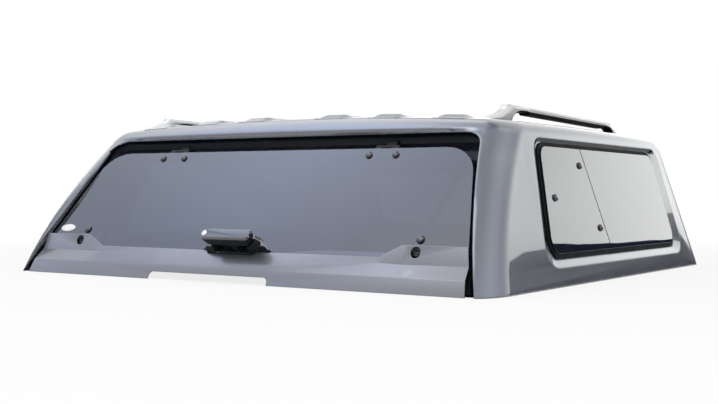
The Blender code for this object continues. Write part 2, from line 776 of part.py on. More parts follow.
def make_hinge_leaf(side_name, metal, door):
    """Leaf behind the glass with two ears on the pin, and its capped bolts through the glass."""
    side = SIDES[side_name]
    centre = hinge_centre(side)
    half = abs(HINGE_BOLTS[1] - HINGE_BOLTS[0]) / 2 + LEAF_MARGIN
    bolt_up = door_up(HINGE_BOLT_HEIGHT)
    back = GLASS_BACK - TOUCH
    low, high = bolt_up - LEAF_HEIGHT / 2, GLASS_TOP - LEAF_BELOW_TOP
    plate = [(centre - half, low), (centre + half, low), (centre + half, high), (centre - half, high)]
    leaf = prism("leaf", DOOR, plate, back - LEAF_THICK, back)
    bore = HINGE_PIN_RADIUS + HINGE_PIN_CLEAR
    for end in (-1, 1):
        near = centre + end * (KNUCKLE_LENGTH / 2 + EAR_GAP)
        far = near + end * EAR_LENGTH
        arm = [(high - ARM_ROOT, back), (high - ARM_ROOT, back - LEAF_THICK),
               (high + ARM_BEND, back - LEAF_THICK),
               (HINGE_UP - ARM_FOOT, HINGE_OUT - 2 * INTO), (HINGE_UP, HINGE_OUT + KNUCKLE_RADIUS - INTO),
               (high + ARM_ROOT, back - INTO)]
        add(leaf, loft("arm", [[DOOR.at(x, up, out) for up, out in arm] for x in (near, far)]))
        add(leaf, cylinder("ear", DOOR.at(near, HINGE_UP, HINGE_OUT), DOOR.at(far, HINGE_UP, HINGE_OUT),
                           KNUCKLE_RADIUS))
        cut(leaf, cylinder("bore", DOOR.at(near - end * OVER, HINGE_UP, HINGE_OUT),
                           DOOR.at(far + end * OVER, HINGE_UP, HINGE_OUT), bore, 12))
    for bolt in HINGE_BOLTS:
        add_capped_bolt(leaf, side * bolt, bolt_up, CAP_RADIUS)
    finish(leaf, "hinge_leaf_" + side_name, metal, door)


def add_capped_bolt(obj, across, up, cap_radius):
    """Unite a bolt through the glass and its cap outside with a piece behind the glass."""
    add(obj, dome_cap(DOOR, across, up, TOUCH, cap_radius, CAP_HEIGHT))
    add(obj, cylinder("bolt", DOOR.at(across, up, GLASS_BACK - 2 * INTO), DOOR.at(across, up, 3 * INTO),
                      BOLT_RADIUS, 10))


def strut_ends():
    """Body pivot and door stud of the struts in the plane of the door, at rest."""
    body = door_point(STRUT_BODY_STATION, STRUT_BODY_HEIGHT)
    return body, (door_up(STUD_HEIGHT), -STUD_DEPTH)


def make_strut_stud(side_name, metal, door):
    """Stud bracket behind the glass for the strut, with its capped bolt."""
    side = SIDES[side_name]
    across = side * STUD_ACROSS
    up = door_up(STUD_HEIGHT)
    back = GLASS_BACK - TOUCH
    wide, tall = STUD_PLATE_HALF, STUD_PLATE_HALF_HEIGHT
    plate = [(across - wide, up - tall), (across + wide, up - tall),
             (across + wide, up + tall), (across - wide, up + tall)]
    stud = prism("plate", DOOR, plate, back - LEAF_THICK, back)
    wall = side * (STRUT_ACROSS + EYE_HALF_WIDTH + EYE_TO_BRACKET)
    tip_out = -STUD_DEPTH - STUD_EAR_PAST_PIN
    ear = [(up - STUD_EAR_ROOT, back - INTO), (up + STUD_EAR_ROOT, back - INTO),
           (up + STUD_EAR_TIP, tip_out), (up - STUD_EAR_TIP, tip_out)]
    add(stud, loft("ear", [[DOOR.at(x, a, b) for a, b in ear] for x in (wall, wall + side * BRACKET_THICK)]))
    tip = side * (STRUT_ACROSS + EYE_HALF_WIDTH + PIN_PAST_EYE)
    add(stud, cylinder("pin", DOOR.at(tip, up, -STUD_DEPTH), DOOR.at(wall + side * INTO, up, -STUD_DEPTH),
                       STRUT_PIN_RADIUS, 12))
    add_capped_bolt(stud, across, up, STUD_CAP_RADIUS)
    finish(stud, "strut_stud_" + side_name, metal, door)


def make_strut_bracket(side_name, metal):
    """Plate from the inner face of the door frame to the strut's body pivot, with its pin."""
    side = SIDES[side_name]
    (up, out), _ = strut_ends()
    wall = side * (STRUT_ACROSS + EYE_HALF_WIDTH + EYE_TO_BRACKET)
    start = LANDING - WALL - TOUCH
    low, high = GLASS_TOP + BRACKET_FOOT_LOW, GLASS_TOP + BRACKET_FOOT_HIGH
    far = wall + side * BRACKET_FOOT_WIDTH
    foot = [(wall, low), (far, low), (far, high), (wall, high)]
    bracket = prism("foot", DOOR, foot, start - BRACKET_THICK, start)
    web = [(low, start - INTO), (high, start - INTO)]
    for k in range(5):
        turn = math.pi * k / 4
        web.append((up + BRACKET_NOSE * math.cos(turn), out - BRACKET_NOSE * math.sin(turn)))
    faces = (wall, wall + side * BRACKET_THICK)
    add(bracket, loft("web", [[DOOR.at(x, a, b) for a, b in web] for x in faces]))
    tip = side * (STRUT_ACROSS - EYE_HALF_WIDTH - PIN_PAST_EYE)
    add(bracket, cylinder("pin", DOOR.at(tip, up, out), DOOR.at(wall + side * INTO, up, out),
                          STRUT_PIN_RADIUS, 12))
    finish(bracket, "strut_bracket_" + side_name, metal)


def make_strut(side_name, black, steel):
    """Gas strut: tube with its eye on the body pivot, rod with its socket beside the door stud."""
    side = SIDES[side_name]
    across = side * STRUT_ACROSS
    (body_up, body_out), (door_up_, door_out) = strut_ends()
    start = DOOR.at(across, body_up, body_out)
    end = DOOR.at(across, door_up_, door_out)
    along = (end - start).normalized()
    sideways = Vector((EYE_HALF_WIDTH, 0, 0))
    hub = pivot("strut_" + side_name, start)
    tube = cylinder("tube", start + along * TUBE_START, start + along * TUBE_END, TUBE_RADIUS)
    add(tube, cylinder("eye", start - sideways, start + sideways, EYE_RADIUS))
    cut(tube, cylinder("eye_hole", start - 2 * sideways, start + 2 * sideways,
                       STRUT_PIN_RADIUS + HINGE_PIN_CLEAR, 12))
    bore_start = start + along * (ROD_TAIL - BORE_TAIL)
    cut(tube, cylinder("bore", bore_start, start + along * (TUBE_END + OVER), ROD_RADIUS + BORE_CLEAR, 12))
    finish(tube, "strut_tube_" + side_name, black, hub)
    rod = cylinder("rod", start + along * ROD_TAIL, end - along * ROD_RADIUS, ROD_RADIUS, 12)
    add(rod, cylinder("socket", end - sideways, end + sideways, EYE_RADIUS))
    finish(rod, "strut_rod_" + side_name, steel, hub)


def skirt_section(ledge, top):
    """Cross-section of the skirt as (up, out) points, outer side first, for a ledge and a top edge."""
    foot = door_point(SKIRT_FOOT, 0.0)
    crest = door_point(CREST_STATION, CREST_HEIGHT)
    ledge, top = door_point(*ledge), door_point(*top)
    glass_edge = top[0] - GLASS_LAP
    shelf = glass_edge - TOUCH
    under = shelf - SKIRT_WALL
    share = (under - ledge[0]) / (top[0] - ledge[0])
    band_out = ledge[1] + (top[1] - ledge[1]) * share
    outer = [foot, crest, ledge, top, (top[0] + SKIRT_LIP, TOUCH)]
    inner_foot = door_point(SKIRT_FOOT + SKIRT_WALL, 0.0)
    inner_crest = door_point(CREST_STATION + SKIRT_WALL, CREST_HEIGHT - INNER_CREST_DROP)
    inner_ledge = (ledge[0] - INNER_LEDGE_DROP, ledge[1] - SKIRT_WALL * 1.1)
    inner = [(shelf, TOUCH), (shelf, GLASS_BACK), (under, GLASS_BACK), (under, band_out - SKIRT_WALL),
             inner_ledge, inner_crest, inner_foot]
    return outer + inner


def skirt_end(up, out):
    """Half length of the skirt at a height, so that its ends follow the pillars."""
    height = DOOR.at(0, up, out).z
    return SKIRT_HALF - SKIRT_END_SPREAD * height


def make_door_skirt(paint, door):
    """Hollow-backed moulding lofted along the door, with end blocks, a stepped ledge and a notch."""
    block = skirt_section((BLOCK_LEDGE_STATION, BLOCK_LEDGE_HEIGHT), (BLOCK_TOP_STATION, BLOCK_TOP_HEIGHT))
    band_top = (BAND_TOP_STATION, BAND_TOP_HEIGHT)
    outer = skirt_section((OUTER_LEDGE_STATION, OUTER_LEDGE_HEIGHT), band_top)
    inner = skirt_section((INNER_LEDGE_STATION, INNER_LEDGE_HEIGHT), band_top)
    centre = skirt_section((CENTRE_LEDGE_STATION, CENTRE_LEDGE_HEIGHT), band_top)
    fall = BLOCK_INNER - BLOCK_SLOPE
    stations = [(-BLOCK_INNER, block), (-fall, outer), (CENTRE_LEFT - CENTRE_LEFT_RUN, inner),
                (CENTRE_LEFT, centre), (CENTRE_RIGHT, centre),
                (CENTRE_RIGHT + CENTRE_RIGHT_RUN, inner), (fall, outer), (BLOCK_INNER, block)]
    loops = [[DOOR.at(-skirt_end(up, out), up, out) for up, out in block]]
    loops += [[DOOR.at(x, up, out) for up, out in section] for x, section in stations]
    loops.append([DOOR.at(skirt_end(up, out), up, out) for up, out in block])
    skirt = loft("skirt", loops)
    notch = [(NOTCH_LEFT, -NOTCH_HEIGHT), (NOTCH_RIGHT, -NOTCH_HEIGHT),
             (NOTCH_RIGHT, NOTCH_HEIGHT), (NOTCH_LEFT, NOTCH_HEIGHT)]
    upright = Plane((0, REAR, 0), (1, 0, 0), (0, 0, 1), (0, -1, 0))
    outline = rounded(notch, (NOTCH_FOOT_ROUND, NOTCH_FOOT_ROUND, NOTCH_ROUND, NOTCH_ROUND))
    cut(skirt, prism("notch", upright, outline, -CUT_REACH, CUT_REACH))
    for side in SIDES.values():
        up = door_up(LATCH_HEIGHT)
        cut(skirt, cylinder("hole", DOOR.at(side * LATCH_ACROSS, up, -SKIRT_WALL),
                            DOOR.at(side * LATCH_ACROSS, up, CUT_REACH), LATCH_HOLE_RADIUS))
    finish(skirt, "door_skirt", paint, door, math.radians(20))


def make_latch(side_name, metal, door):
    """Latch case behind the skirt's round hole, with the bolt that shows in it."""
    side = SIDES[side_name]
    across, up = side * LATCH_ACROSS, door_up(LATCH_HEIGHT)
    width, height, depth = LATCH_SIZE
    front = -LATCH_DEPTH
    top = door_point(BLOCK_TOP_STATION, BLOCK_TOP_HEIGHT)[0] - GLASS_LAP - SKIRT_WALL - 2 * TOUCH
    case = [(across - width / 2, top - height), (across + width / 2, top - height),
            (across + width / 2, top), (across - width / 2, top)]
    latch = prism("case", DOOR, case, front - depth, front)
    lug = [(across - width / 2, top - LUG_HEIGHT), (across + width / 2, top - LUG_HEIGHT),
           (across + width / 2, top), (across - width / 2, top)]
    add(latch, prism("lug", DOOR, lug, front - INTO, -LUG_FRONT))
    spot = (across + LATCH_BOLT_SHIFT, up - LATCH_BOLT_SHIFT)
    add(latch, cylinder("bolt", DOOR.at(*spot, front - 2 * INTO), DOOR.at(*spot, LATCH_BOLT_PROUD),
                        LATCH_BOLT_RADIUS, 12))
    finish(latch, "latch_" + side_name, metal, door)


def make_door_glass(glass, door):
    """Frameless pane whose lower edge sits behind the skirt's top edge."""
    low = door_point(BAND_TOP_STATION, BAND_TOP_HEIGHT)[0] - GLASS_LAP
    high = door_point(BLOCK_TOP_STATION, BLOCK_TOP_HEIGHT)[0] - GLASS_LAP
    top_right, top_left = glass_corners(0, 0, high)[2:]
    end = glass_corners(0, 0, high)[1][0]
    fall = BLOCK_INNER - BLOCK_SLOPE
    corners = [(-fall, low), (fall, low), (BLOCK_INNER, high), (end, high), top_right, top_left,
               (-end, high), (-BLOCK_INNER, high)]
    radii = (0.002, 0.002, 0.002, 0.006, GLASS_TOP_ROUND, GLASS_TOP_ROUND, 0.006, 0.002)
    pane = prism("pane", DOOR, rounded(corners, radii), GLASS_BACK, 0.0)
    for side in SIDES.values():
        spots = [(side * bolt, door_up(HINGE_BOLT_HEIGHT)) for bolt in HINGE_BOLTS]
        spots.append((side * STUD_ACROSS, door_up(STUD_HEIGHT)))
        for across, up in spots:
            cut(pane, cylinder("hole", DOOR.at(across, up, GLASS_BACK - OVER), DOOR.at(across, up, OVER),
                               BOLT_RADIUS + TOUCH, 10))
    finish(pane, "door_glass", glass, door)


def handle_outline(taper):
    """Housing outline round the handle's axis, drawn in evenly by a taper."""
    left, right = HANDLE_ACROSS - HOUSING_LEFT + taper, HANDLE_ACROSS + HOUSING_RIGHT - taper
    low, high = HANDLE_UP - HOUSING_LOW + taper, HANDLE_UP + HOUSING_HIGH - taper
    small, large = HOUSING_LEFT_ROUND - taper / 2, HOUSING_RIGHT_ROUND - taper
    return rounded([(left, low), (right, low), (right, high), (left, high)], (small, large, large, small))


def make_handle_base(black, door):
    """Base plate on the glass and the housing over it, open below for the fingers, with the shaft."""
    low = door_point(BAND_TOP_STATION, BAND_TOP_HEIGHT)[0] + PLATE_ABOVE_SKIRT
    plate = [(HANDLE_ACROSS - PLATE_HALF_LOW, low), (HANDLE_ACROSS + PLATE_HALF_LOW, low),
             (HANDLE_ACROSS + PLATE_HALF_HIGH, low + PLATE_TALL),
             (HANDLE_ACROSS - PLATE_HALF_HIGH, low + PLATE_TALL)]
    base = prism("plate", DOOR, rounded(plate, evenly(PLATE_ROUND)), TOUCH, PLATE_THICK)
    levels = ((HOUSING_BACK, 0.0), (HOUSING_FRONT, HOUSING_TAPER))
    housing = [[DOOR.at(a, b, out) for a, b in handle_outline(taper)] for out, taper in levels]
    add(base, loft("housing", housing))
    near, far = HANDLE_ACROSS - FINGER_HALF, HANDLE_ACROSS + FINGER_HALF
    high = HANDLE_UP + FINGER_HIGH
    room = [(near, high - CUT_DEEP), (far, high - CUT_DEEP), (far, high), (near, high)]
    cut(base, prism("room", DOOR, rounded(room, evenly(PLATE_ROUND)), FINGER_FLOOR, CUT_REACH))
    add(base, cylinder("shaft", DOOR.at(HANDLE_ACROSS, HANDLE_UP, PLATE_THICK - 2 * INTO),
                       DOOR.at(HANDLE_ACROSS, HANDLE_UP, SHAFT_END), SHAFT_RADIUS))
    finish(base, "handle_base", black, door)


def make_handle_grip(black, silver, turn):
    """T grip with a rounded face, and the lock barrel seated in its left end."""
    loops = []
    levels = ((GRIP_BACK, GRIP_BACK_SHARE, 1.0), (GRIP_BACK + 2 * GRIP_EDGE, 0.92, 1.1),
              (GRIP_FRONT - GRIP_EDGE, 1.0, 1.0), (GRIP_FRONT, 0.97, GRIP_FACE_SHARE))
    for out, long_share, tall_share in levels:
        half, tall = GRIP_HALF_LENGTH * long_share, GRIP_HALF_HEIGHT * tall_share
        corners = [(-half, -tall), (half, -tall), (half, tall), (-half, tall)]
        outline = rounded(corners, evenly(0.7 * GRIP_HALF_HEIGHT), 4)
        loops.append([DOOR.at(HANDLE_ACROSS + a, HANDLE_UP + b, out) for a, b in outline])
    grip = loft("grip", loops)
    lock_across = HANDLE_ACROSS - GRIP_HALF_LENGTH + LOCK_FROM_END
    seat = GRIP_FRONT - LOCK_SEAT
    mouth, floor = (DOOR.at(lock_across, HANDLE_UP, depth) for depth in (CUT_DEEP, seat))
    cut(grip, cylinder("seat", floor, mouth, LOCK_RADIUS + TOUCH))
    finish(grip, "handle_grip", black, turn)
    lock = cylinder("lock", DOOR.at(lock_across, HANDLE_UP, seat + TOUCH),
                    DOOR.at(lock_across, HANDLE_UP, GRIP_FRONT + LOCK_PROUD), LOCK_RADIUS)
    finish(lock, "lock_barrel", silver, turn)


def rail_top(station):
    """Height of the rail's top at a station between its ends."""
    share = (station - RAIL_START) / (RAIL_END - RAIL_START)
    return RAIL_REAR_TOP + (RAIL_FRONT_TOP - RAIL_REAR_TOP) * share


def rail_solid(name, side, profile):
    """Extrude a side profile of stations and heights across the rail and round its long edges."""
    near = side * RAIL_ACROSS - RAIL_WIDTH / 2
    loops = []
    for x in (near, near + RAIL_WIDTH):
        loops.append([Vector((x, REAR + station, height)) for station, height in profile])
    obj = loft(name, loops)
    bevel = obj.modifiers.new("edges", "BEVEL")
    bevel.width = RAIL_EDGE
    bevel.segments = 2
    bevel.limit_method = "ANGLE"
    bevel.angle_limit = math.radians(60)
    depsgraph = bpy.context.evaluated_depsgraph_get()
    result = bpy.data.meshes.new_from_object(obj.evaluated_get(depsgraph))
    obj.modifiers.clear()
    obj.data = result
    return obj


def rail_foot_profile(start, way, length, base, arch, rise):
    """Side profile of a rail foot that curves up from its end and arches over to the bar."""
    profile = [(start, FOOT_ROOT)]
    for k in range(7):
        turn = math.pi / 2 * k / 6
        station = start + way * rise * math.sin(turn)
        low = roof_height(RAIL_ACROSS, station) + FOOT_LIP
        profile.append((station, low + (rail_top(station) - low) * (1 - math.cos(turn)) ** FOOT_RISE_POWER))
    tip = start + way * length
    profile += [(tip, rail_top(tip)), (tip, rail_top(tip) - RAIL_BAR_THICK)]
    for k in range(6):
        turn = math.pi / 2 * k / 5
        station = start + way * (base + (arch - base) * (1 - math.sin(turn)))
        low = roof_height(RAIL_ACROSS, station)
        high = rail_top(station) - RAIL_BAR_THICK
        profile.append((station, low + (high - low) * math.cos(turn)))
    profile.append((start + way * base, FOOT_ROOT))
    return profile


def make_rail(side_name, metal):
    """Raised roof rail: a bar between two feet that curve down to the roof."""
    side = SIDES[side_name]
    ends = {"rear": (RAIL_START, 1.0, REAR_FOOT_LENGTH, REAR_FOOT_BASE, REAR_FOOT_ARCH, REAR_FOOT_RISE),
            "front": (RAIL_END, -1.0, FRONT_FOOT_LENGTH, FRONT_FOOT_BASE, FRONT_FOOT_ARCH, FRONT_FOOT_RISE)}
    for place, sizes in ends.items():
        foot = rail_solid("foot", side, rail_foot_profile(*sizes))
        cut(foot, hull("seat", -TOUCH, -CORNER_LEAST))
        finish(foot, "roof_rail_" + place + "_foot_" + side_name, metal)
    start, end = RAIL_START + REAR_FOOT_LENGTH + TOUCH, RAIL_END - FRONT_FOOT_LENGTH - TOUCH
    stations = [start + (end - start) * k / 6 for k in range(7)]
    profile = [(s, rail_top(s)) for s in stations]
    profile += [(s, rail_top(s) - RAIL_BAR_THICK) for s in reversed(stations)]
    bar = rail_solid("bar", side, profile)
    finish(bar, "roof_rail_bar_" + side_name, metal)


def main():
    """Build the whole canopy."""
    for obj in list(bpy.data.objects):
        bpy.data.objects.remove(obj)
    paint = make_material("navy_paint", (0.030, 0.037, 0.060), 0.12)
    skirt_paint = make_material("skirt_paint", (0.034, 0.042, 0.066), 0.16)
    glass = make_material("tinted_glass", (0.020, 0.022, 0.026), 0.05)
    rubber = make_material("rubber", (0.012, 0.012, 0.013), 0.65)
    black = make_material("black_plastic", (0.015, 0.016, 0.018), 0.35)
    metal = make_material("black_steel", (0.02, 0.02, 0.022), 0.45, 0.6)
    steel = make_material("bright_steel", (0.60, 0.60, 0.62), 0.25, 1.0)
    silver = make_material("silver_rail", (0.52, 0.52, 0.51), 0.35, 0.7)

    make_shell(paint)
    make_front_window(rubber, glass)
    make_door_seal(rubber)
    door = pivot("rear_door", HINGE)
    turn = pivot("door_handle", DOOR.at(HANDLE_ACROSS, HANDLE_UP, 0))
    turn.parent = door
    turn.matrix_parent_inverse = door.matrix_world.inverted()
    make_door_glass(glass, door)
    make_door_skirt(skirt_paint, door)
    make_handle_base(black, door)
    make_handle_grip(black, steel, turn)
    for side_name in SIDES:
        make_side_window(side_name, rubber, glass, black)
        make_hinge_base(side_name, metal)
        make_hinge_leaf(side_name, metal, door)
        make_strut_bracket(side_name, metal)
        make_strut_stud(side_name, metal, door)
        make_strut(side_name, black, steel)
        make_latch(side_name, metal, door)
        make_rail(side_name, silver)


main()
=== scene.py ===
"""Pickup truck canopy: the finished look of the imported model, in a small white studio.

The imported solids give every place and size. Here the moulding gets its smooth lacquered skin, pressed
ribs and lining, the door its soft edges, bulb seal and turned caps, and each surface its own material.
Sizes are in metres. A station is a distance ahead of the rear edge.
"""

import logging
import math
from dataclasses import dataclass, field
from enum import Enum
from typing import Callable, Iterable, Sequence

import bmesh
import bpy
from mathutils import Matrix, Vector
from mathutils.bvhtree import BVHTree


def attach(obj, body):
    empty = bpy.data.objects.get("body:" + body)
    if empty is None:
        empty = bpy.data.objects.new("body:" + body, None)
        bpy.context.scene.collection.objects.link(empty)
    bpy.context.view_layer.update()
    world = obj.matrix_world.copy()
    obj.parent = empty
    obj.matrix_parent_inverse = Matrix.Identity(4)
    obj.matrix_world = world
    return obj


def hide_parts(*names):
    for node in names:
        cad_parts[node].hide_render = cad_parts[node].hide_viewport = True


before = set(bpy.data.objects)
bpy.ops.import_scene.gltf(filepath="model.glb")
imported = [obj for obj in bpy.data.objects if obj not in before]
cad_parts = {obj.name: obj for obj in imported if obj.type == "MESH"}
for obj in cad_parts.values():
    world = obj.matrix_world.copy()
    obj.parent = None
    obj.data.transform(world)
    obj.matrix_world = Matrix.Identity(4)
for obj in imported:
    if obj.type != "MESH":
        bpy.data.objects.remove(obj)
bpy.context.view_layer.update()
log = logging.getLogger("canopy")

MM = 0.001
Point2 = tuple[float, float]
Socket = bpy.types.NodeSocket


class Side(Enum):
    """The two long sides, with the sign of X on each."""

    LEFT = -1
    RIGHT = 1

    @property
    def label(self) -> str:
        """The word that the side's pieces carry in their names."""
        return self.name.lower()


class Shading(Enum):
    """How a finished mesh is shaded: the angle past which an edge stays sharp, in degrees."""

    CRISP = 25.0
    SOFT = 40.0
    ROUND = 180.0


# Small tools for nodes and colours


def linear(hex_colour: str) -> tuple[float, float, float, float]:
    """Turn an sRGB hex colour into linear light.

    Args:
        hex_colour: six hex digits, with or without a leading hash.

    Returns:
        Red, green, blue and an alpha of one.
    """
    digits = hex_colour.lstrip("#")
    levels = [int(digits[i:i + 2], 16) / 255 for i in (0, 2, 4)]
    red, green, blue = (c / 12.92 if c <= 0.04045 else ((c + 0.055) / 1.055) ** 2.4 for c in levels)
    return red, green, blue, 1.0


def add_node(tree: bpy.types.NodeTree, kind: str, values: dict | None = None,
             links: dict | None = None, **settings: object) -> bpy.types.Node:
    """Add one node to a tree.

    Args:
        tree: the tree that gets the node.
        kind: the node's type.
        values: input name or index, and the value it holds.
        links: input name or index, and the output that feeds it.
        **settings: the node's own properties.

    Returns:
        The new node.
    """
    node = tree.nodes.new(kind)
    for key, value in settings.items():
        setattr(node, key, value)
    for key, value in (values or {}).items():
        node.inputs[key].default_value = value
    for key, socket in (links or {}).items():
        tree.links.new(socket, node.inputs[key])
    return node


def maths(tree: bpy.types.NodeTree, operation: str, *operands: Socket | float) -> Socket:
    """One number operation on sockets or plain numbers.

    Args:
        tree: the tree that gets the Math node.
        operation: the Math node's operation.
        *operands: outputs or numbers, as many as the operation takes.

    Returns:
        The result's output.
    """
    values = {i: item for i, item in enumerate(operands) if not isinstance(item, bpy.types.NodeSocket)}
    links = {i: item for i, item in enumerate(operands) if isinstance(item, bpy.types.NodeSocket)}
    return add_node(tree, "ShaderNodeMath", values, links, operation=operation).outputs[0]


def per_metre(millimetres: float) -> float:
    """Scale of a texture whose cell measures that many millimetres."""
    return 1.0 / (millimetres * MM)


# Finishes


@dataclass(frozen=True)
class Finish:
    """A material with a real name. Subclasses lay out what the surface does to light."""

    name: str
    colour: str

    def material(self) -> bpy.types.Material:
        """The finish's material, built on first use.

        Returns:
            The material.
        """
        found = bpy.data.materials.get(self.name)
        if found:
            return found
        made = bpy.data.materials.new(self.name)
        made.use_nodes = True
        tree = made.node_tree
        tree.nodes.clear()
        place = add_node(tree, "ShaderNodeTexCoord").outputs["Object"]
        shader = add_node(tree, "ShaderNodeBsdfPrincipled")
        shader.inputs["Base Color"].default_value = linear(self.colour)
        self.dress(tree, shader, place)
        add_node(tree, "ShaderNodeOutputMaterial", links={"Surface": shader.outputs["BSDF"]})
        return made

    def dress(self, tree: bpy.types.NodeTree, shader: bpy.types.Node, place: Socket) -> None:
        """Set the shader's sockets and patterns; each finish has its own."""
        raise NotImplementedError

    def grain(self, tree: bpy.types.NodeTree, place: Socket, size_mm: float, depth_mm: float,
              strength: float, detail: float = 2.0, normal: Socket | None = None) -> Socket:
        """A bump from noise.

        Args:
            tree: the material's tree.
            place: the coordinates that it reads.
            size_mm: size of one grain.
            depth_mm: height of the grain.
            strength: how much of it shows.
            detail: octaves of the noise.
            normal: an earlier normal to build on.

        Returns:
            The normal output.
        """
        noise = add_node(tree, "ShaderNodeTexNoise", {"Scale": per_metre(size_mm), "Detail": detail},
                         {"Vector": place})
        links = {"Height": noise.outputs["Fac"]}
        if normal is not None:
            links["Normal"] = normal
        bump = add_node(tree, "ShaderNodeBump", {"Strength": strength, "Distance": depth_mm * MM}, links)
        return bump.outputs["Normal"]

    def spread(self, tree: bpy.types.NodeTree, place: Socket, size_mm: float,
               low: float, high: float, detail: float = 3.0) -> Socket:
        """A soft noise between two numbers, for roughness.

        Args:
            tree: the material's tree.
            place: the coordinates that it reads.
            size_mm: size of one patch.
            low: value in the dark patches.
            high: value in the light ones.
            detail: octaves of the noise.

        Returns:
            The value output.
        """
        noise = add_node(tree, "ShaderNodeTexNoise", {"Scale": per_metre(size_mm), "Detail": detail},
                         {"Vector": place})
        fit = add_node(tree, "ShaderNodeMapRange",
                       {"From Min": 0.3, "From Max": 0.7, "To Min": low, "To Max": high},
                       {"Value": noise.outputs["Fac"]})
        return fit.outputs["Result"]

    def tones(self, tree: bpy.types.NodeTree, factor: Socket, low: str, high: str) -> Socket:
        """Mix two tones by a factor between zero and one.

        Args:
            tree: the material's tree.
            factor: share of the second tone.
            low: hex colour at zero.
            high: hex colour at one.

        Returns:
            The colour output.
        """
        mix = add_node(tree, "ShaderNodeMix", data_type="RGBA")
        mix.inputs[6].default_value = linear(low)
        mix.inputs[7].default_value = linear(high)
        tree.links.new(factor, mix.inputs[0])
        return mix.outputs[2]


@dataclass(frozen=True)
class MetallicLacquer(Finish):
    """Metallic car lacquer sprayed on moulded fibreglass: a dark blue-grey flake coat under clear coat.

    The flakes give a soft pale sheen of the sky, the clear coat a sharp second reflection, and the
    moulding under it a faint wave, so that edges of reflections are never dead straight. Real flakes
    are under 0.1 mm and are drawn coarser, so that they show from near by.
    """

    dark: str = "#4F5259"
    light: str = "#71747C"
    roughness: float = 0.24
    edge_mm: float = 7.0
    clear: float = 1.0
    flake_mm: float = 0.4

    def dress(self, tree: bpy.types.NodeTree, shader: bpy.types.Node, place: Socket) -> None:
        """Flakes, orange peel, moulding wave and a rounded edge.

        Args:
            tree: the material's tree.
            shader: its Principled shader.
            place: the object's own coordinates.
        """
        edge = add_node(tree, "ShaderNodeBevel", {"Radius": self.edge_mm * MM}, samples=4)
        wave = self.grain(tree, place, 120.0, 0.35, 0.10, 1.0, edge.outputs["Normal"])
        peel = self.grain(tree, place, 7.0, 0.02, 0.12, 2.0, wave)
        flakes = add_node(tree, "ShaderNodeTexVoronoi", {"Scale": per_metre(self.flake_mm)},
                          {"Vector": place})
        split = add_node(tree, "ShaderNodeSeparateColor", links={"Color": flakes.outputs["Color"]})
        tree.links.new(self.tones(tree, split.outputs["Red"], self.dark, self.light),
                       shader.inputs["Base Color"])
        tree.links.new(self.spread(tree, place, 260.0, self.roughness - 0.03, self.roughness + 0.04),
                       shader.inputs["Roughness"])
        shader.inputs["Metallic"].default_value = 0.88
        shader.inputs["Coat Weight"].default_value = self.clear
        shader.inputs["Coat Roughness"].default_value = 0.02
        shader.inputs["Coat IOR"].default_value = 1.75
        tree.links.new(peel, shader.inputs["Coat Normal"])
        tree.links.new(wave, shader.inputs["Normal"])


@dataclass(frozen=True)
class TintedGlass(Finish):
    """Toughened privacy glass: a grey float pane that mirrors the sky and lets little light by."""

    ior: float = 1.62

    def dress(self, tree: bpy.types.NodeTree, shader: bpy.types.Node, place: Socket) -> None:
        """Clear transmission with a very long roller wave.

        Args:
            tree: the material's tree.
            shader: its Principled shader.
            place: the object's own coordinates.
        """
        wave = self.grain(tree, place, 240.0, 0.25, 0.06, 1.0)
        shader.inputs["Transmission Weight"].default_value = 1.0
        shader.inputs["Roughness"].default_value = 0.0
        shader.inputs["IOR"].default_value = self.ior
        shader.inputs["Coat Weight"].default_value = 1.0
        shader.inputs["Coat Roughness"].default_value = 0.015
        shader.inputs["Coat IOR"].default_value = 1.42
        tree.links.new(wave, shader.inputs["Normal"])
        tree.links.new(wave, shader.inputs["Coat Normal"])


@dataclass(frozen=True)
class ExtrudedRubber(Finish):
    """EPDM rubber from an extruder: near black, a dull sheen and a fine drag along it."""

    def dress(self, tree: bpy.types.NodeTree, shader: bpy.types.Node, place: Socket) -> None:
        """Fine grain and a dusty bloom.

        Args:
            tree: the material's tree.
            shader: its Principled shader.
            place: the object's own coordinates.
        """
        tree.links.new(self.tones(tree, self.spread(tree, place, 60.0, 0.0, 1.0), self.colour, "#17191D"),
                       shader.inputs["Base Color"])
        tree.links.new(self.spread(tree, place, 25.0, 0.46, 0.60), shader.inputs["Roughness"])
        shader.inputs["Specular IOR Level"].default_value = 0.04
        tree.links.new(self.grain(tree, place, 0.9, 0.04, 0.35), shader.inputs["Normal"])


@dataclass(frozen=True)
class ShadedGelcoat(Finish):
    """Body gelcoat of the door's rebate and of the window recesses' down-facing slopes, darkened to deep
    navy as painted shade: smooth, with soft streaks of light.
    """

    def dress(self, tree: bpy.types.NodeTree, shader: bpy.types.Node, place: Socket) -> None:
        """A brushed-on ripple along the rebate under a smooth face.

        Args:
            tree: the material's tree.
            shader: its Principled shader.
            place: the object's own coordinates.
        """
        tree.links.new(self.tones(tree, self.spread(tree, place, 45.0, 0.0, 1.0), self.colour, "#10151F"),
                       shader.inputs["Base Color"])
        tree.links.new(self.spread(tree, place, 30.0, 0.14, 0.26), shader.inputs["Roughness"])
        shader.inputs["Specular IOR Level"].default_value = 0.14
        tree.links.new(self.grain(tree, place, 28.0, 0.4, 0.30), shader.inputs["Normal"])


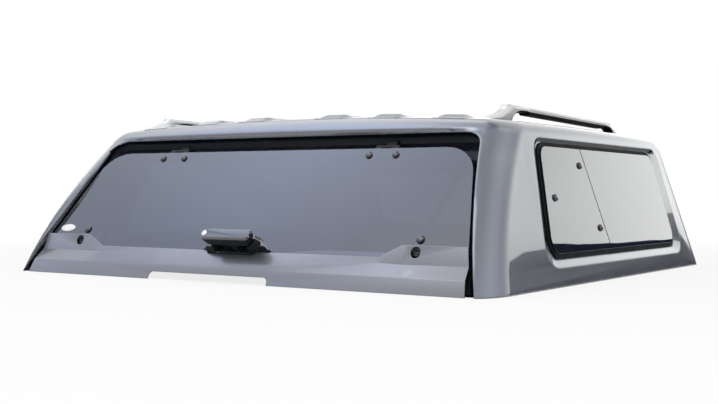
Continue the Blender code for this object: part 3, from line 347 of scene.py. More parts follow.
@dataclass(frozen=True)
class MouldedPlastic(Finish):
    """Glass-filled nylon or ABS out of a spark-eroded tool: black with a satin leather-like grain."""

    roughness: float = 0.32
    grain_mm: float = 0.8
    gloss: float = 0.0
    sheen: float = 0.5

    def dress(self, tree: bpy.types.NodeTree, shader: bpy.types.Node, place: Socket) -> None:
        """Tool grain, rubbed edges and, where gloss is set, a glossy skin.

        Args:
            tree: the material's tree.
            shader: its Principled shader.
            place: the object's own coordinates.
        """
        shader.inputs["Specular IOR Level"].default_value = self.sheen
        shader.inputs["Coat Weight"].default_value = self.gloss
        shader.inputs["Coat Roughness"].default_value = 0.05
        shader.inputs["Coat IOR"].default_value = 1.75
        edge = add_node(tree, "ShaderNodeBevel", {"Radius": 0.8 * MM}, samples=4)
        tree.links.new(self.tones(tree, self.spread(tree, place, 18.0, 0.0, 1.0), self.colour, "#1D2026"),
                       shader.inputs["Base Color"])
        tree.links.new(self.spread(tree, place, 14.0, self.roughness - 0.05, self.roughness + 0.08),
                       shader.inputs["Roughness"])
        tree.links.new(self.grain(tree, place, self.grain_mm, 0.03, 0.25, 2.0, edge.outputs["Normal"]),
                       shader.inputs["Normal"])


@dataclass(frozen=True)
class Enamel(Finish):
    """Poured enamel on a foil badge: plain white under a clear domed drop."""

    def dress(self, tree: bpy.types.NodeTree, shader: bpy.types.Node, place: Socket) -> None:
        """A faint mottle and a glossy skin.

        Args:
            tree: the material's tree.
            shader: its Principled shader.
            place: the object's own coordinates.
        """
        tree.links.new(self.tones(tree, self.spread(tree, place, 8.0, 0.0, 1.0), self.colour, "#F1F3F5"),
                       shader.inputs["Base Color"])
        tree.links.new(self.spread(tree, place, 6.0, 0.20, 0.30), shader.inputs["Roughness"])
        tree.links.new(self.grain(tree, place, 3.0, 0.01, 0.1), shader.inputs["Normal"])


@dataclass(frozen=True)
class CoatedSteel(Finish):
    """Pressed steel with a baked black dip coat: a soft even sheen that pulls thin over the edges."""

    def dress(self, tree: bpy.types.NodeTree, shader: bpy.types.Node, place: Socket) -> None:
        """Coat texture and rounded pressed edges.

        Args:
            tree: the material's tree.
            shader: its Principled shader.
            place: the object's own coordinates.
        """
        edge = add_node(tree, "ShaderNodeBevel", {"Radius": 0.6 * MM}, samples=4)
        tree.links.new(self.tones(tree, self.spread(tree, place, 9.0, 0.0, 1.0), self.colour, "#15161A"),
                       shader.inputs["Base Color"])
        tree.links.new(self.spread(tree, place, 12.0, 0.34, 0.48), shader.inputs["Roughness"])
        shader.inputs["Specular IOR Level"].default_value = 0.25
        tree.links.new(self.grain(tree, place, 0.7, 0.02, 0.3, 2.0, edge.outputs["Normal"]),
                       shader.inputs["Normal"])


@dataclass(frozen=True)
class PlatedSteel(Finish):
    """Hard chrome or zinc on turned steel: bright, with faint turning rings along the part."""

    roughness: float = 0.14

    def dress(self, tree: bpy.types.NodeTree, shader: bpy.types.Node, place: Socket) -> None:
        """Small scratches in the roughness and a fine bump.

        Args:
            tree: the material's tree.
            shader: its Principled shader.
            place: the object's own coordinates.
        """
        shader.inputs["Metallic"].default_value = 1.0
        tree.links.new(self.tones(tree, self.spread(tree, place, 3.0, 0.0, 1.0), self.colour, "#C4C5C6"),
                       shader.inputs["Base Color"])
        tree.links.new(self.spread(tree, place, 4.0, self.roughness, self.roughness + 0.12),
                       shader.inputs["Roughness"])
        tree.links.new(self.grain(tree, place, 0.5, 0.01, 0.2), shader.inputs["Normal"])


@dataclass(frozen=True)
class SatinAluminium(Finish):
    """Extruded aluminium, etched and silver anodised: an even grey with faint draw lines along the bar."""

    def dress(self, tree: bpy.types.NodeTree, shader: bpy.types.Node, place: Socket) -> None:
        """Draw lines stretched along Y and a satin sheen.

        Args:
            tree: the material's tree.
            shader: its Principled shader.
            place: the object's own coordinates.
        """
        along = add_node(tree, "ShaderNodeMapping", {"Scale": (1.0, 0.01, 1.0)}, {"Vector": place})
        lines = add_node(tree, "ShaderNodeTexNoise", {"Scale": per_metre(1.4), "Detail": 3.0},
                         {"Vector": along.outputs["Vector"]})
        tree.links.new(self.tones(tree, lines.outputs["Fac"], self.colour, "#D9D9D6"),
                       shader.inputs["Base Color"])
        shader.inputs["Metallic"].default_value = 0.9
        tree.links.new(self.spread(tree, place, 40.0, 0.30, 0.40), shader.inputs["Roughness"])
        edge = add_node(tree, "ShaderNodeBevel", {"Radius": 1.2 * MM}, samples=4)
        bump = add_node(tree, "ShaderNodeBump", {"Strength": 0.15, "Distance": 0.02 * MM},
                        {"Height": lines.outputs["Fac"], "Normal": edge.outputs["Normal"]})
        tree.links.new(bump.outputs["Normal"], shader.inputs["Normal"])


@dataclass(frozen=True)
class SprayedFlowcoat(Finish):
    """Grey flowcoat over chopped-strand mat inside the shell: matt, with the lay of the strands showing."""

    def dress(self, tree: bpy.types.NodeTree, shader: bpy.types.Node, place: Socket) -> None:
        """Strand pattern as crossing stretched cells.

        Args:
            tree: the material's tree.
            shader: its Principled shader.
            place: the object's own coordinates.
        """
        strands = add_node(tree, "ShaderNodeTexVoronoi", {"Scale": per_metre(9.0), "Randomness": 1.0},
                           {"Vector": place}, distance="MANHATTAN")
        tree.links.new(self.tones(tree, strands.outputs["Distance"], "#484B50", "#53565B"),
                       shader.inputs["Base Color"])
        shader.inputs["Roughness"].default_value = 0.62
        bump = add_node(tree, "ShaderNodeBump", {"Strength": 0.25, "Distance": 0.3 * MM},
                        {"Height": strands.outputs["Distance"]})
        tree.links.new(self.grain(tree, place, 2.0, 0.15, 0.4, 3.0, bump.outputs["Normal"]),
                       shader.inputs["Normal"])


LACQUER = MetallicLacquer("metallic_lacquer_on_fibreglass", "#5A6070")
SKIRT_LACQUER = MetallicLacquer("metallic_lacquer_on_skirt", "#6E7480", dark="#6A6B6F", light="#87888C",
                                roughness=0.38, edge_mm=2.0, clear=0.45)
GLASS = TintedGlass("toughened_privacy_glass", "#4A5262")
RUBBER = ExtrudedRubber("extruded_epdm_rubber", "#101114")
# Lighter, glossy copy of the handle's black ABS, on its faces turned up and out: painted highlight.
LIT_FACE_PLASTIC = MouldedPlastic("polished_black_abs", "#0A0C12", roughness=0.16, grain_mm=1.6, gloss=1.0)
CAP_PLASTIC = MouldedPlastic("moulded_cap_nylon", "#0E1015", roughness=0.20, grain_mm=1.6, gloss=0.45)
# Darker, duller copy of the same black ABS, on the handle's other faces: painted shade.
SHADED_FACE_PLASTIC = MouldedPlastic("black_abs_painted_shade", "#05060A", roughness=0.42, sheen=0.12)
DIPPED_STEEL = CoatedSteel("dip_coated_pressed_steel", "#0B0C0F")
CHROME = PlatedSteel("hard_chromed_steel", "#D8D8D8")
ALUMINIUM = SatinAluminium("silver_anodised_aluminium", "#BEBEBC")
FLOWCOAT = SprayedFlowcoat("grey_flowcoat_lining", "#4C4F54")
# The rebate and the down-facing recess slopes are body-coloured on the real shell; this near-black tone is
# painted shade.
REBATE = ShadedGelcoat("black_gelcoat_rebate", "#080B12")
LABEL = Enamel("blank_white_enamel", "#FAFBFC")


# Mesh tools


@dataclass(frozen=True)
class Plane:
    """A local frame: across, up and outward directions from an origin."""

    origin: Vector
    across: Vector
    up: Vector
    out: Vector

    @classmethod
    def of(cls, origin: Sequence[float], across: Sequence[float], up: Sequence[float],
           out: Sequence[float]) -> "Plane":
        """Make a plane from plain numbers; the directions are brought to unit length."""
        return cls(Vector(origin), *(Vector(way).normalized() for way in (across, up, out)))

    def at(self, across: float, up: float, out: float = 0.0) -> Vector:
        """The world point with these local coordinates."""
        return self.origin + across * self.across + up * self.up + out * self.out


def new_object(name: str, bm: bmesh.types.BMesh, outward: bool = True) -> bpy.types.Object:
    """Turn a bmesh into an object of the scene.

    Args:
        name: the object's name.
        bm: the mesh, which is freed.
        outward: whether faces are turned outward first.

    Returns:
        The linked object.
    """
    if outward:
        bmesh.ops.recalc_face_normals(bm, faces=bm.faces)
    mesh = bpy.data.meshes.new(name)
    bm.to_mesh(mesh)
    bm.free()
    obj = bpy.data.objects.new(name, mesh)
    bpy.context.scene.collection.objects.link(obj)
    return obj


def loft(name: str, loops: Sequence[Sequence[Vector]]) -> bpy.types.Object:
    """Join equal rings of points into a body that is closed at both ends.

    Args:
        name: the object's name.
        loops: rings of as many points each.

    Returns:
        The new object.
    """
    bm = bmesh.new()
    rows = [[bm.verts.new(point) for point in loop] for loop in loops]
    for low, high in zip(rows, rows[1:]):
        for i in range(len(low)):
            j = (i + 1) % len(low)
            bm.faces.new((low[i], low[j], high[j], high[i]))
    bm.faces.new(rows[0])
    bm.faces.new(rows[-1])
    return new_object(name, bm)


def fillet(before: Point2, corner: Point2, after: Point2, radius: float, steps: int) -> list[Point2]:
    """Points of the arc that rounds a corner.

    Args:
        before: the point before the corner.
        corner: the corner itself.
        after: the point after it.
        radius: radius of the arc.
        steps: how many pieces the arc has.

    Returns:
        The points along the arc.
    """
    c = Vector(corner)
    back, ahead = (Vector(before) - c).normalized(), (Vector(after) - c).normalized()
    half = back.angle(ahead) / 2
    centre = c + (back + ahead).normalized() * (radius / math.sin(half))
    first = c + back * (radius / math.tan(half)) - centre
    last = c + ahead * (radius / math.tan(half)) - centre
    sweep = -first.angle_signed(last)
    points = []
    for k in range(steps + 1):
        turn = sweep * k / steps
        points.append((centre.x + first.x * math.cos(turn) - first.y * math.sin(turn),
                       centre.y + first.x * math.sin(turn) + first.y * math.cos(turn)))
    return points


def rounded(corners: Sequence[Point2], radii: Sequence[float], steps: int = 10) -> list[Point2]:
    """Closed outline through corners, each rounded by its own radius.

    Args:
        corners: the corners in order.
        radii: one radius for each.
        steps: how many pieces each arc has.

    Returns:
        The points of the outline.
    """
    points: list[Point2] = []
    for i, corner in enumerate(corners):
        points += fillet(corners[i - 1], corner, corners[(i + 1) % len(corners)], radii[i], steps)
    return points


def smooth(obj: bpy.types.Object, shading: Shading) -> bpy.types.Object:
    """Shade a mesh smooth up to the given edge angle.

    Args:
        obj: the object.
        shading: how sharp an edge has to be to stay sharp.

    Returns:
        The same object.
    """
    obj.data.shade_smooth()
    obj.data.set_sharp_from_angle(angle=math.radians(shading.value))
    return obj


def applied(obj: bpy.types.Object) -> bpy.types.Object:
    """Turn an object's modifiers into plain mesh.

    Args:
        obj: the object.

    Returns:
        The same object without modifiers.
    """
    depsgraph = bpy.context.evaluated_depsgraph_get()
    mesh = bpy.data.meshes.new_from_object(obj.evaluated_get(depsgraph))
    obj.modifiers.clear()
    obj.data = mesh
    return obj


def bevelled(obj: bpy.types.Object, width: float, segments: int = 3,
             angle: float = 35.0) -> bpy.types.Object:
    """Round the sharp edges of a mesh.

    Args:
        obj: the object.
        width: width of the bevel in metres.
        segments: how many faces make the round.
        angle: edges that turn more than this many degrees are rounded.

    Returns:
        The same object with a plain mesh.
    """
    bevel = obj.modifiers.new("edges", "BEVEL")
    bevel.width = width
    bevel.segments = segments
    bevel.limit_method = "ANGLE"
    bevel.angle_limit = math.radians(angle)
    return applied(obj)


def merged_copy(node: str, name: str, shading: Shading, flatten: bool = True) -> bpy.types.Object:
    """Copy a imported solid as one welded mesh.

    Args:
        node: the solid's node.
        name: name of the new piece.
        shading: how it is shaded.
        flatten: whether triangles that lie in one plane become one face.

    Returns:
        The new object, at the origin.
    """
    bm = bmesh.new()
    bm.from_mesh(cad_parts[node].data)
    bmesh.ops.remove_doubles(bm, verts=bm.verts, dist=0.02 * MM)
    if flatten:
        bmesh.ops.dissolve_limit(bm, angle_limit=math.radians(0.4), verts=bm.verts, edges=bm.edges)
    obj = new_object(name, bm, outward=False)
    obj.data.materials.clear()
    return smooth(obj, shading)


def place_piece(obj: bpy.types.Object, body: str, finish: Finish | None,
                replaces: Iterable[str] = ()) -> bpy.types.Object:
    """Give a finished piece its material, its body and the nodes that it stands for.

    Args:
        obj: the piece, at the origin.
        body: name of the body that it moves with.
        finish: its finish, or None where it has its materials already.
        replaces: nodes that it stands for.

    Returns:
        The piece.
    """
    if finish is not None:
        obj.data.materials.clear()
        obj.data.materials.append(finish.material())
    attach(obj, body)
    nodes = list(replaces)
    if nodes:
        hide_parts(*nodes)
    log.info("%s: %d faces on %s", obj.name, len(obj.data.polygons), body)
    return obj


def coat_nodes(finish: Finish, *nodes: str) -> None:
    """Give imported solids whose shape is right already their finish.

    Args:
        finish: the finish.
        *nodes: the solids' nodes.
    """
    for node in nodes:
        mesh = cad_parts[node].data
        mesh.materials.clear()
        mesh.materials.append(finish.material())
        log.info("%s: %s", node, finish.name)


# Repeated pieces, by geometry nodes


@dataclass
class NodeMaker:
    """Runs a geometry node tree over a set of points and keeps the plain mesh."""

    name: str
    inputs: dict[str, float] = field(default_factory=dict)

    def tree(self, build: Callable[[bpy.types.NodeTree, bpy.types.Node], Socket],
             finish: Finish) -> bpy.types.NodeTree:
        """Lay out a tree with named number inputs that ends in Realize Instances and Set Material.

        Args:
            build: adds the nodes between the group's input and the last two.
            finish: the finish of the result.

        Returns:
            The new tree.
        """
        tree = bpy.data.node_groups.new(self.name, "GeometryNodeTree")
        tree.interface.new_socket("Geometry", in_out="INPUT", socket_type="NodeSocketGeometry")
        for label in self.inputs:
            tree.interface.new_socket(label, in_out="INPUT", socket_type="NodeSocketFloat")
        tree.interface.new_socket("Geometry", in_out="OUTPUT", socket_type="NodeSocketGeometry")
        start = add_node(tree, "NodeGroupInput")
        shape = build(tree, start)
        real = add_node(tree, "GeometryNodeRealizeInstances", links={"Geometry": shape})
        dressed = add_node(tree, "GeometryNodeSetMaterial", {"Material": finish.material()},
                           {"Geometry": real.outputs["Geometry"]})
        add_node(tree, "NodeGroupOutput", links={"Geometry": dressed.outputs["Geometry"]})
        return tree

    def run(self, tree: bpy.types.NodeTree, points: Sequence[Vector],
            directions: Sequence[Vector] | None = None) -> bpy.types.Object:
        """Evaluate the tree on points.

        Args:
            tree: the tree.
            points: where the instances go.
            directions: the outward direction at each point, if the tree reads one.

        Returns:
            An object with the plain result.
        """
        mesh = bpy.data.meshes.new(self.name)
        mesh.from_pydata([tuple(p) for p in points], [], [])
        if directions is not None:
            facing = mesh.attributes.new("facing", "FLOAT_VECTOR", "POINT")
            for item, direction in zip(facing.data, directions):
                item.vector = direction
        obj = bpy.data.objects.new(self.name, mesh)
        bpy.context.scene.collection.objects.link(obj)
        modifier = obj.modifiers.new("nodes", "NODES")
        modifier.node_group = tree
        for item in tree.interface.items_tree:
            if item.in_out == "INPUT" and item.name in self.inputs:
                modifier[item.identifier] = self.inputs[item.name]
        return applied(obj)


@dataclass
class Fasteners:
    """Turned heads, such as bolt caps, stood on points of a surface."""

    name: str
    radius: float
    height: float
    profile: Sequence[Point2]
    segments: int = 28

    def build(self, tree: bpy.types.NodeTree, start: bpy.types.Node) -> Socket:
        """Turn the profile by extruding and scaling a disc, then stand it on each point.

        Args:
            tree: the tree.
            start: the group's input node, with Radius and Height.

        Returns:
            The instances.
        """
        disc = add_node(tree, "GeometryNodeMeshCircle", {"Vertices": self.segments},
                        {"Radius": start.outputs["Radius"]}, fill_type="NGON")
        shape, chosen = disc.outputs["Mesh"], None
        flipped = add_node(tree, "GeometryNodeFlipFaces", links={"Mesh": disc.outputs["Mesh"]})
        last_radius, last_height = 1.0, 0.0
        for radius, height in self.profile:
            rise = add_node(tree, "ShaderNodeMath", {1: height - last_height}, {0: start.outputs["Height"]},
                            operation="MULTIPLY")
            offset = add_node(tree, "ShaderNodeCombineXYZ", links={"Z": rise.outputs[0]})
            links = {"Mesh": shape, "Offset": offset.outputs["Vector"]}
            if chosen is not None:
                links["Selection"] = chosen
            step = add_node(tree, "GeometryNodeExtrudeMesh", {"Offset Scale": 1.0, "Individual": False},
                            links, mode="FACES")
            chosen = step.outputs["Top"]
            scaled = add_node(tree, "GeometryNodeScaleElements", {"Scale": radius / last_radius},
                              {"Geometry": step.outputs["Mesh"], "Selection": chosen})
            shape = scaled.outputs["Geometry"]
            last_radius, last_height = radius, height
        joined = add_node(tree, "GeometryNodeJoinGeometry")
        tree.links.new(flipped.outputs["Mesh"], joined.inputs[0])
        tree.links.new(shape, joined.inputs[0])
        welded = add_node(tree, "GeometryNodeMergeByDistance", {"Distance": 0.005 * MM},
                          {"Geometry": joined.outputs["Geometry"]})
        facing = add_node(tree, "GeometryNodeInputNamedAttribute", {"Name": "facing"},
                          data_type="FLOAT_VECTOR")
        turn = add_node(tree, "FunctionNodeAlignRotationToVector",
                        links={"Vector": facing.outputs["Attribute"]}, axis="Z")
        stood = add_node(tree, "GeometryNodeInstanceOnPoints",
                         links={"Points": start.outputs["Geometry"], "Instance": welded.outputs["Geometry"],
                                "Rotation": turn.outputs["Rotation"]})
        return stood.outputs["Instances"]

    def make(self, spots: Sequence[tuple[Vector, Vector]], finish: Finish, body: str,
             slot: str) -> bpy.types.Object:
        """Stand the heads and place the piece.

        Args:
            spots: each head's foot and outward direction.
            finish: the heads' finish.
            body: the body they move with.
            slot: not used.

        Returns:
            The piece.
        """
        maker = NodeMaker(self.name, {"Radius": self.radius, "Height": self.height})
        obj = maker.run(maker.tree(self.build, finish), [p for p, _ in spots], [d for _, d in spots])
        smooth(obj, Shading.SOFT)
        return place_piece(obj, body, None)


CAP_PROFILE = ((1.0, 0.42), (0.97, 0.58), (0.88, 0.76), (0.72, 0.90), (0.45, 0.98), (0.2, 1.0))


# The moulding


@dataclass
class HullForm:
    """The smooth outer form of the moulding, as a rule of height."""

    half_width: float = 0.800
    length: float = 1.609
    side_lean: float = 0.25
    front_lean: float = 0.297
    rear_slope: float = 0.38
    rear_curve: float = 0.82
    wall_top: float = 0.388
    roof_top: float = 0.452
    roof_crown: float = 0.018
    crown_half: float = 0.63
    roof_bow: float = 0.008
    shoulder: float = 0.038
    front_round: float = 0.10
    rear_corner: Point2 = (0.055, 0.110)
    front_corner: float = 0.045
    roof_draw: float = 0.35
    fineness: int = 4

    @property
    def rear(self) -> float:
        """Y of the rear edge."""
        return -self.length / 2

    def roof_height(self, x: float, station: float) -> float:
        """Height of the roof without its ribs."""
        across = self.roof_crown * (x / self.crown_half) ** 2
        return self.roof_top - across - self.roof_bow * (2 * station / self.length - 1) ** 2

    def plan(self, half: float, rear: float, front: float, shrink: float) -> list[Point2]:
        """Plan loop at one level, from the rear centre by +X round to the start.

        Args:
            half: half width.
            rear: station of the rear edge.
            front: station of the front edge.
            shrink: share of the corner sizes that is left.

        Returns:
            Points as X and station.
        """
        across, along = (size * shrink for size in self.rear_corner)
        corner = self.front_corner * shrink
        fine = self.fineness
        arc = 6 * fine
        points = [((half - across) * k / (4 * fine), rear) for k in range(4 * fine)]
        for k in range(arc + 1):
            turn = math.pi / 2 * k / arc
            points.append((half - across + across * math.sin(turn), rear + along * (1 - math.cos(turn))))
        start, end = rear + along, front - corner
        points += [(half, start + (end - start) * k / (5 * fine)) for k in range(1, 5 * fine)]
        for k in range(arc + 1):
            turn = math.pi / 2 * k / arc
            points.append((half - corner * (1 - math.cos(turn)), end + corner * math.sin(turn)))
        points += [((half - corner) * (1 - k / (4 * fine)), front) for k in range(1, 4 * fine + 1)]
        return points + [(-x, s) for x, s in reversed(points[1:-1])]

    def loops(self) -> list[list[Vector]]:
        """All loops of the form, from a little below the ground to near the middle of the roof.

        Returns:
            Rows of as many points each.
        """
        rows: list[list[Vector]] = []
        rise = self.roof_height(self.half_width, self.length / 2) - self.wall_top
        top_slope = self.rear_slope + 2 * self.rear_curve * self.wall_top

        def level(half: float, rear: float, front: float, height: Callable[[float, float], float],
                  shrink: float = 1.0) -> None:
            """Add one loop whose height follows a rule."""
            rows.append([Vector((x, self.rear + s, height(x, s)))
                         for x, s in self.plan(half, rear, front, shrink)])

        def walls(z: float) -> tuple[float, float, float]:
            """Half width, rear and front station of the walls at a height."""
            return (self.half_width - self.side_lean * z,
                    self.rear_slope * z + self.rear_curve * z * abs(z), self.length - self.front_lean * z)

        count = 7 * self.fineness
        for k in range(-2, count + 1):
            z = self.wall_top * k / count
            level(*walls(z), lambda x, s, z=z: z)
        half, rear, front = walls(self.wall_top)
        count = 6 * self.fineness
        for k in range(1, count + 1):
            turn = math.pi / 2 * k / count
            gain = math.sin(turn)
            level(half - self.shoulder * (1 - math.cos(turn)), rear + rise * top_slope * turn,
                  front - self.front_round * (1 - math.cos(turn)) - self.front_lean * rise * gain,
                  lambda x, s, gain=gain: self.wall_top + (self.roof_height(x, s) - self.wall_top) * gain)
        half -= self.shoulder
        rear += rise * top_slope * math.pi / 2
        front -= self.front_round + self.front_lean * rise
        for k in range(1, count):
            share = k / count
            draw = self.roof_draw * share
            level(half * (1 - share), rear + draw, front - draw, self.roof_height, 1 - share)
        return rows

    def reference(self) -> "SkinReference":
        """The form as a search tree with a smooth normal at each vertex.

        Returns:
            The fine surface that the moulding takes its normals from.
        """
        bm = bmesh.new()
        rows = [[bm.verts.new(point) for point in loop] for loop in self.loops()]
        for low, high in zip(rows, rows[1:]):
            for i in range(len(low)):
                j = (i + 1) % len(low)
                bm.faces.new((low[i], low[j], high[j], high[i]))
        last, count = rows[-1], len(rows[-1])
        for i in range(1, count // 2 - 1):
            bm.faces.new((last[i], last[i + 1], last[count - i - 1], last[count - i]))
        bmesh.ops.triangulate(bm, faces=bm.faces)
        bm.verts.index_update()
        bm.normal_update()
        points = [v.co.copy() for v in bm.verts]
        triangles = [tuple(v.index for v in f.verts) for f in bm.faces]
        reference = SkinReference(points, [v.normal.copy() for v in bm.verts], triangles,
                                  BVHTree.FromPolygons(points, triangles))
        bm.free()
        return reference


@dataclass
class SkinReference:
    """A fine smooth surface that other meshes take their normals from."""

    points: list[Vector]
    normals: list[Vector]
    triangles: list[tuple[int, ...]]
    search: BVHTree

    def nearest(self, point: Vector) -> tuple[Vector, float]:
        """The smooth normal at the nearest place of the surface.

        Args:
            point: where to look from.

        Returns:
            The unit normal there and the distance to it.
        """
        spot, _, index, distance = self.search.find_nearest(point)
        corners = self.triangles[index]
        a, b, c = (self.points[i] for i in corners)
        across, up, reach = b - a, c - a, spot - a
        d00, d01, d11 = across.dot(across), across.dot(up), up.dot(up)
        d20, d21 = reach.dot(across), reach.dot(up)
        scale = d00 * d11 - d01 * d01
        if abs(scale) < 1e-18:
            return self.normals[corners[0]], distance
        v, w = (d11 * d20 - d01 * d21) / scale, (d00 * d21 - d01 * d20) / scale
        na, nb, nc = (self.normals[i] for i in corners)
        return (na * (1 - v - w) + nb * v + nc * w).normalized(), distance


@dataclass
class RoofRibs:
    """Six ribs pressed into the roof, each a grid bent to the roof's rule and raised by a soft step."""

    form: HullForm
    places: tuple[float, ...] = (0.137, 0.317, 0.519)
    width: float = 0.142
    height: float = 0.0124
    rear_end: float = 0.318
    front_end: float = 1.362
    slope: float = 0.046
    sink: float = 0.00015
    grid: tuple[int, int] = (41, 201)
    rim_drop: float = 2.0 * MM

    def build_tree(self, tree: bpy.types.NodeTree, start: bpy.types.Node) -> Socket:
        """Grid on each place, realized, then set on the roof by formula.

        Args:
            tree: the tree.
            start: the group's input, with Width, Length, Height, Slope and Middle.

        Returns:
            The geometry.
        """
        grid = add_node(tree, "GeometryNodeMeshGrid",
                        {"Vertices X": self.grid[0], "Vertices Y": self.grid[1]},
                        {"Size X": start.outputs["Width"], "Size Y": start.outputs["Length"]})
        local = add_node(tree, "GeometryNodeInputPosition")
        kept = add_node(tree, "GeometryNodeCaptureAttribute", links={"Geometry": grid.outputs["Mesh"]})
        kept.capture_items.new("VECTOR", "local")
        tree.links.new(local.outputs["Position"], kept.inputs[1])
        stood = add_node(tree, "GeometryNodeInstanceOnPoints",
                         links={"Points": start.outputs["Geometry"], "Instance": kept.outputs["Geometry"]})
        real = add_node(tree, "GeometryNodeRealizeInstances",
                        links={"Geometry": stood.outputs["Instances"]})
        rise = self.step(tree, kept.outputs[1], start)
        world = add_node(tree, "ShaderNodeSeparateXYZ",
                         links={"Vector": add_node(tree, "GeometryNodeInputPosition").outputs["Position"]})
        form = self.form
        across = maths(tree, "DIVIDE", world.outputs["X"], form.crown_half)
        squared = maths(tree, "POWER", maths(tree, "ABSOLUTE", across), 2.0)
        crown = maths(tree, "MULTIPLY", squared, form.roof_crown)
        along = maths(tree, "DIVIDE", world.outputs["Y"], form.length / 2)
        bow = maths(tree, "MULTIPLY", maths(tree, "MULTIPLY", along, along), form.roof_bow)
        fall = maths(tree, "ADD", crown, bow)
        level = maths(tree, "SUBTRACT", form.roof_top - self.sink, fall)
        height = maths(tree, "MULTIPLY_ADD", rise, start.outputs["Height"], level)
        place = add_node(tree, "ShaderNodeCombineXYZ",
                         links={"X": world.outputs["X"], "Y": world.outputs["Y"], "Z": height})
        return add_node(tree, "GeometryNodeSetPosition",
                        links={"Geometry": real.outputs["Geometry"], "Position": place.outputs["Vector"]}
                        ).outputs["Geometry"]

    def step(self, tree: bpy.types.NodeTree, local: Socket, start: bpy.types.Node) -> Socket:
        """The soft step: zero at the rim of the rounded plan and one inside it.

        Args:
            tree: the tree.
            local: the point's place on its own grid.
            start: the group's input.

        Returns:
            A share between zero and one.
        """
        split = add_node(tree, "ShaderNodeSeparateXYZ", links={"Vector": local})
        over = []
        for axis, size in (("X", "Width"), ("Y", "Length")):
            half = maths(tree, "MULTIPLY", start.outputs[size], 0.5)
            inner = maths(tree, "SUBTRACT", half, start.outputs["Round"])
            past = maths(tree, "SUBTRACT", maths(tree, "ABSOLUTE", split.outputs[axis]), inner)
            over.append(maths(tree, "MAXIMUM", past, 0.0))
        squares = [maths(tree, "MULTIPLY", item, item) for item in over]
        reach = maths(tree, "SQRT", maths(tree, "ADD", *squares))
        rim = maths(tree, "SUBTRACT", start.outputs["Round"], reach)
        return add_node(tree, "ShaderNodeMapRange", {"From Min": 0.0, "To Min": 0.0, "To Max": 1.0},
                        {"Value": rim, "From Max": start.outputs["Slope"]},
                        interpolation_type="SMOOTHSTEP").outputs["Result"]

    def make(self, finish: Finish) -> bpy.types.Object:
        """The six ribs as one plain mesh.

        Args:
            finish: the roof's finish.

        Returns:
            The ribs.
        """
        length = self.front_end - self.rear_end
        maker = NodeMaker("pressed_roof_ribs",
                          {"Width": self.width, "Length": length, "Height": self.height,
                           "Slope": self.slope, "Round": self.slope})
        middle = self.form.rear + (self.rear_end + self.front_end) / 2
        spots = [Vector((side.value * place, middle, 0)) for place in self.places for side in Side]
        obj = maker.run(maker.tree(self.build_tree, finish), spots)
        self.trim(obj)
        return smooth(obj, Shading.ROUND)

    def trim(self, obj: bpy.types.Object) -> None:
        """Drop the grid outside the rounded plan, which lies under the roof, and turn its rim down.

        Args:
            obj: the ribs.
        """
        bm = bmesh.new()
        bm.from_mesh(obj.data)
        form = self.form
        low = [f for f in bm.faces
               if all(v.co.z < form.roof_height(v.co.x, v.co.y - form.rear) - self.sink * 0.9
                      for v in f.verts)]
        bmesh.ops.delete(bm, geom=low, context="FACES")
        rim = [e for e in bm.edges if e.is_boundary]
        out = bmesh.ops.extrude_edge_only(bm, edges=rim)
        for v in (g for g in out["geom"] if isinstance(g, bmesh.types.BMVert)):
            v.co.z -= self.rim_drop
        bm.to_mesh(obj.data)
        bm.free()


class Layer(Enum):
    """The moulding's surfaces, by their place in its list of materials."""

    SKIN = 0
    LINING = 1
    REBATE = 2


